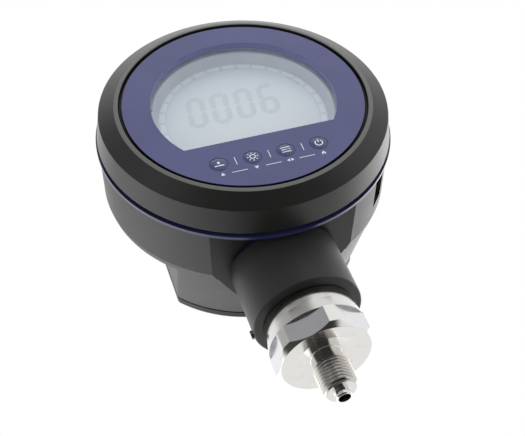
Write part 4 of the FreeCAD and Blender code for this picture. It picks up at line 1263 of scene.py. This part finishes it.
@dataclass
class Lamp:
    """One soft lamp of the studio."""

    name: str
    place: tuple[float, float, float]
    target: tuple[float, float, float]
    width: float
    power: float

    def build(self) -> None:
        """Hangs the lamp and points it at its target."""
        light = bpy.data.lights.new(self.name, "AREA")
        light.shape = "DISK"
        light.size = self.width
        light.energy = self.power
        lamp = bpy.data.objects.new(self.name, light)
        lamp.location = self.place
        way = Vector(self.target) - Vector(self.place)
        lamp.rotation_euler = way.to_track_quat("-Z", "Y").to_euler()
        lamp.visible_camera = False
        lamp.visible_glossy = False
        bpy.context.scene.collection.objects.link(lamp)


@dataclass(frozen=True)
class Screen:
    """A soft-edged light or dark screen of the room, as mirrors see it."""

    way: tuple[float, float, float]
    level: float
    edge: float
    core: float


@dataclass
class Studio:
    """The pale floor, the white room with its screens, the lamps and the camera."""

    floor_level: float = -0.34
    floor_width: float = 12.0
    floor_dark: Colour = (0.78, 0.78, 0.78)
    floor_pale: Colour = (0.84, 0.84, 0.84)
    floor_glow: Colour = (0.4, 0.4, 0.4)
    floor_cloud: float = 0.4
    ambient: float = 0.7
    screens: tuple[Screen, ...] = (
        Screen((0.1, 0.4, 0.9), 1.25, 0.2, 0.9),
        Screen((0.68, 0.72, 0.15), 2.5, 0.84, 0.98),
        Screen((-0.68, 0.73, -0.08), 1.9, 0.82, 0.97),
        Screen((-0.2, 0.98, -0.02), 1.8, 0.85, 0.98),
        Screen((-0.12, 0.36, -0.92), 0.15, 0.92, 0.98),
        Screen((-0.32, -0.73, 0.6), 0.41, 0.86, 0.96),
        Screen((-0.85, -0.25, 0.46), 0.5, 0.78, 0.95),
        Screen((0.0, -0.66, -0.75), 0.04, 0.42, 0.72),
        Screen((-0.8, -0.25, -0.55), 0.06, 0.8, 0.93),
        Screen((0.85, -0.3, -0.45), 0.95, 0.84, 0.95),
    )
    camera_place: tuple[float, float, float] = (-0.0921, -0.2982, -0.1993)
    camera_right: tuple[float, float, float] = (0.950, -0.012, -0.311)
    camera_up: tuple[float, float, float] = (0.217, -0.689, 0.691)
    lens: float = 74.0
    sensor: float = 36.0
    sight: Flat = (0.01, 50.0)
    lamps: tuple[Lamp, ...] = (
        Lamp("top_lamp", (0.1, -0.6, 1.0), (0.0, 0.0, 0.08), 1.0, 4.0),
        Lamp("left_lamp", (-1.0, -0.1, 0.2), (0.0, 0.0, 0.07), 0.9, 3.0),
        Lamp("right_lamp", (1.0, 0.0, 0.2), (0.0, 0.0, 0.07), 0.9, 4.0),
    )

    def build(self) -> None:
        """Sets up the whole studio."""
        bpy.context.scene.view_settings.view_transform = "Standard"
        self._floor()
        self._room()
        for lamp in self.lamps:
            lamp.build()
        self._camera()

    def _floor(self) -> None:
        """The pale floor under the gauge."""
        shape = Shape()
        half = self.floor_width / 2
        ways = ((-1, -1), (1, -1), (1, 1), (-1, 1))
        shape.add([Vector((x * half, y * half, self.floor_level)) for x, y in ways], [(0, 1, 2, 3)])
        material, graph = new_finish("studio_floor")
        cloud = graph.noise(graph.point(), self.floor_cloud, 2.0)
        seen = Value(graph, graph.add("ShaderNodeLightPath").outputs["Is Camera Ray"])
        graph.surface({"Base Color": graph.blend(cloud, self.floor_dark, self.floor_pale),
                       "Roughness": 0.9,
                       "Emission Color": graph.blend(seen, (0.0, 0.0, 0.0), self.floor_glow),
                       "Emission Strength": 1.0})
        floor = bpy.data.objects.new("studio_floor", shape.mesh("studio_floor", [material]))
        floor.visible_glossy = False
        bpy.context.scene.collection.objects.link(floor)

    def _room(self) -> None:
        """A white room that shows its screens to mirrors only, and that lights at a plain level."""
        world = bpy.data.worlds.new("studio_room")
        world.use_nodes = True
        bpy.context.scene.world = world
        graph = Graph(world.node_tree)
        path = graph.add("ShaderNodeLightPath")
        direct, through, mirrored = (Value(graph, path.outputs[f"Is {kind} Ray"])
                                     for kind in ("Camera", "Transmission", "Glossy"))
        seen = direct.most(through)
        way = graph.add("ShaderNodeTexCoord").outputs["Generated"]
        shown: Operand = 1.0
        for screen in self.screens:
            share = graph.towards(way, screen.way).eased(screen.edge, screen.core)
            shown = shown * (1.0 - share) + share * screen.level
        unseen = mirrored * shown + (1.0 - mirrored) * self.ambient
        light = graph.add("ShaderNodeBackground", sockets={
            "Color": (1.0, 1.0, 1.0), "Strength": seen + (1.0 - seen) * unseen})
        graph.add("ShaderNodeOutputWorld", sockets={"Surface": light.outputs[0]})

    def _camera(self) -> None:
        """The camera, at the photograph's place and angle."""
        data = bpy.data.cameras.new("camera")
        data.lens = self.lens
        data.sensor_width = self.sensor
        data.clip_start, data.clip_end = self.sight
        camera = bpy.data.objects.new("camera", data)
        right = Vector(self.camera_right).normalized()
        back = right.cross(Vector(self.camera_up)).normalized()
        up = back.cross(right)
        turn = Matrix((right, up, back)).transposed()
        camera.matrix_world = Matrix.Translation(Vector(self.camera_place)) @ turn.to_4x4()
        bpy.context.scene.collection.objects.link(camera)
        bpy.context.scene.camera = camera


def main() -> None:
    """Builds and dresses the gauge, then its studio."""
    logging.basicConfig(level=logging.INFO, format="%(name)s: %(message)s")
    connection = Connection()
    face = FacePlate()
    display = Display()
    for assembly in (connection, face, display):
        assembly.build()
    for assembly in (connection, Housing(), face, display, Inside()):
        assembly.dress()
    Studio().build()


if __name__ == "__main__":
    main()
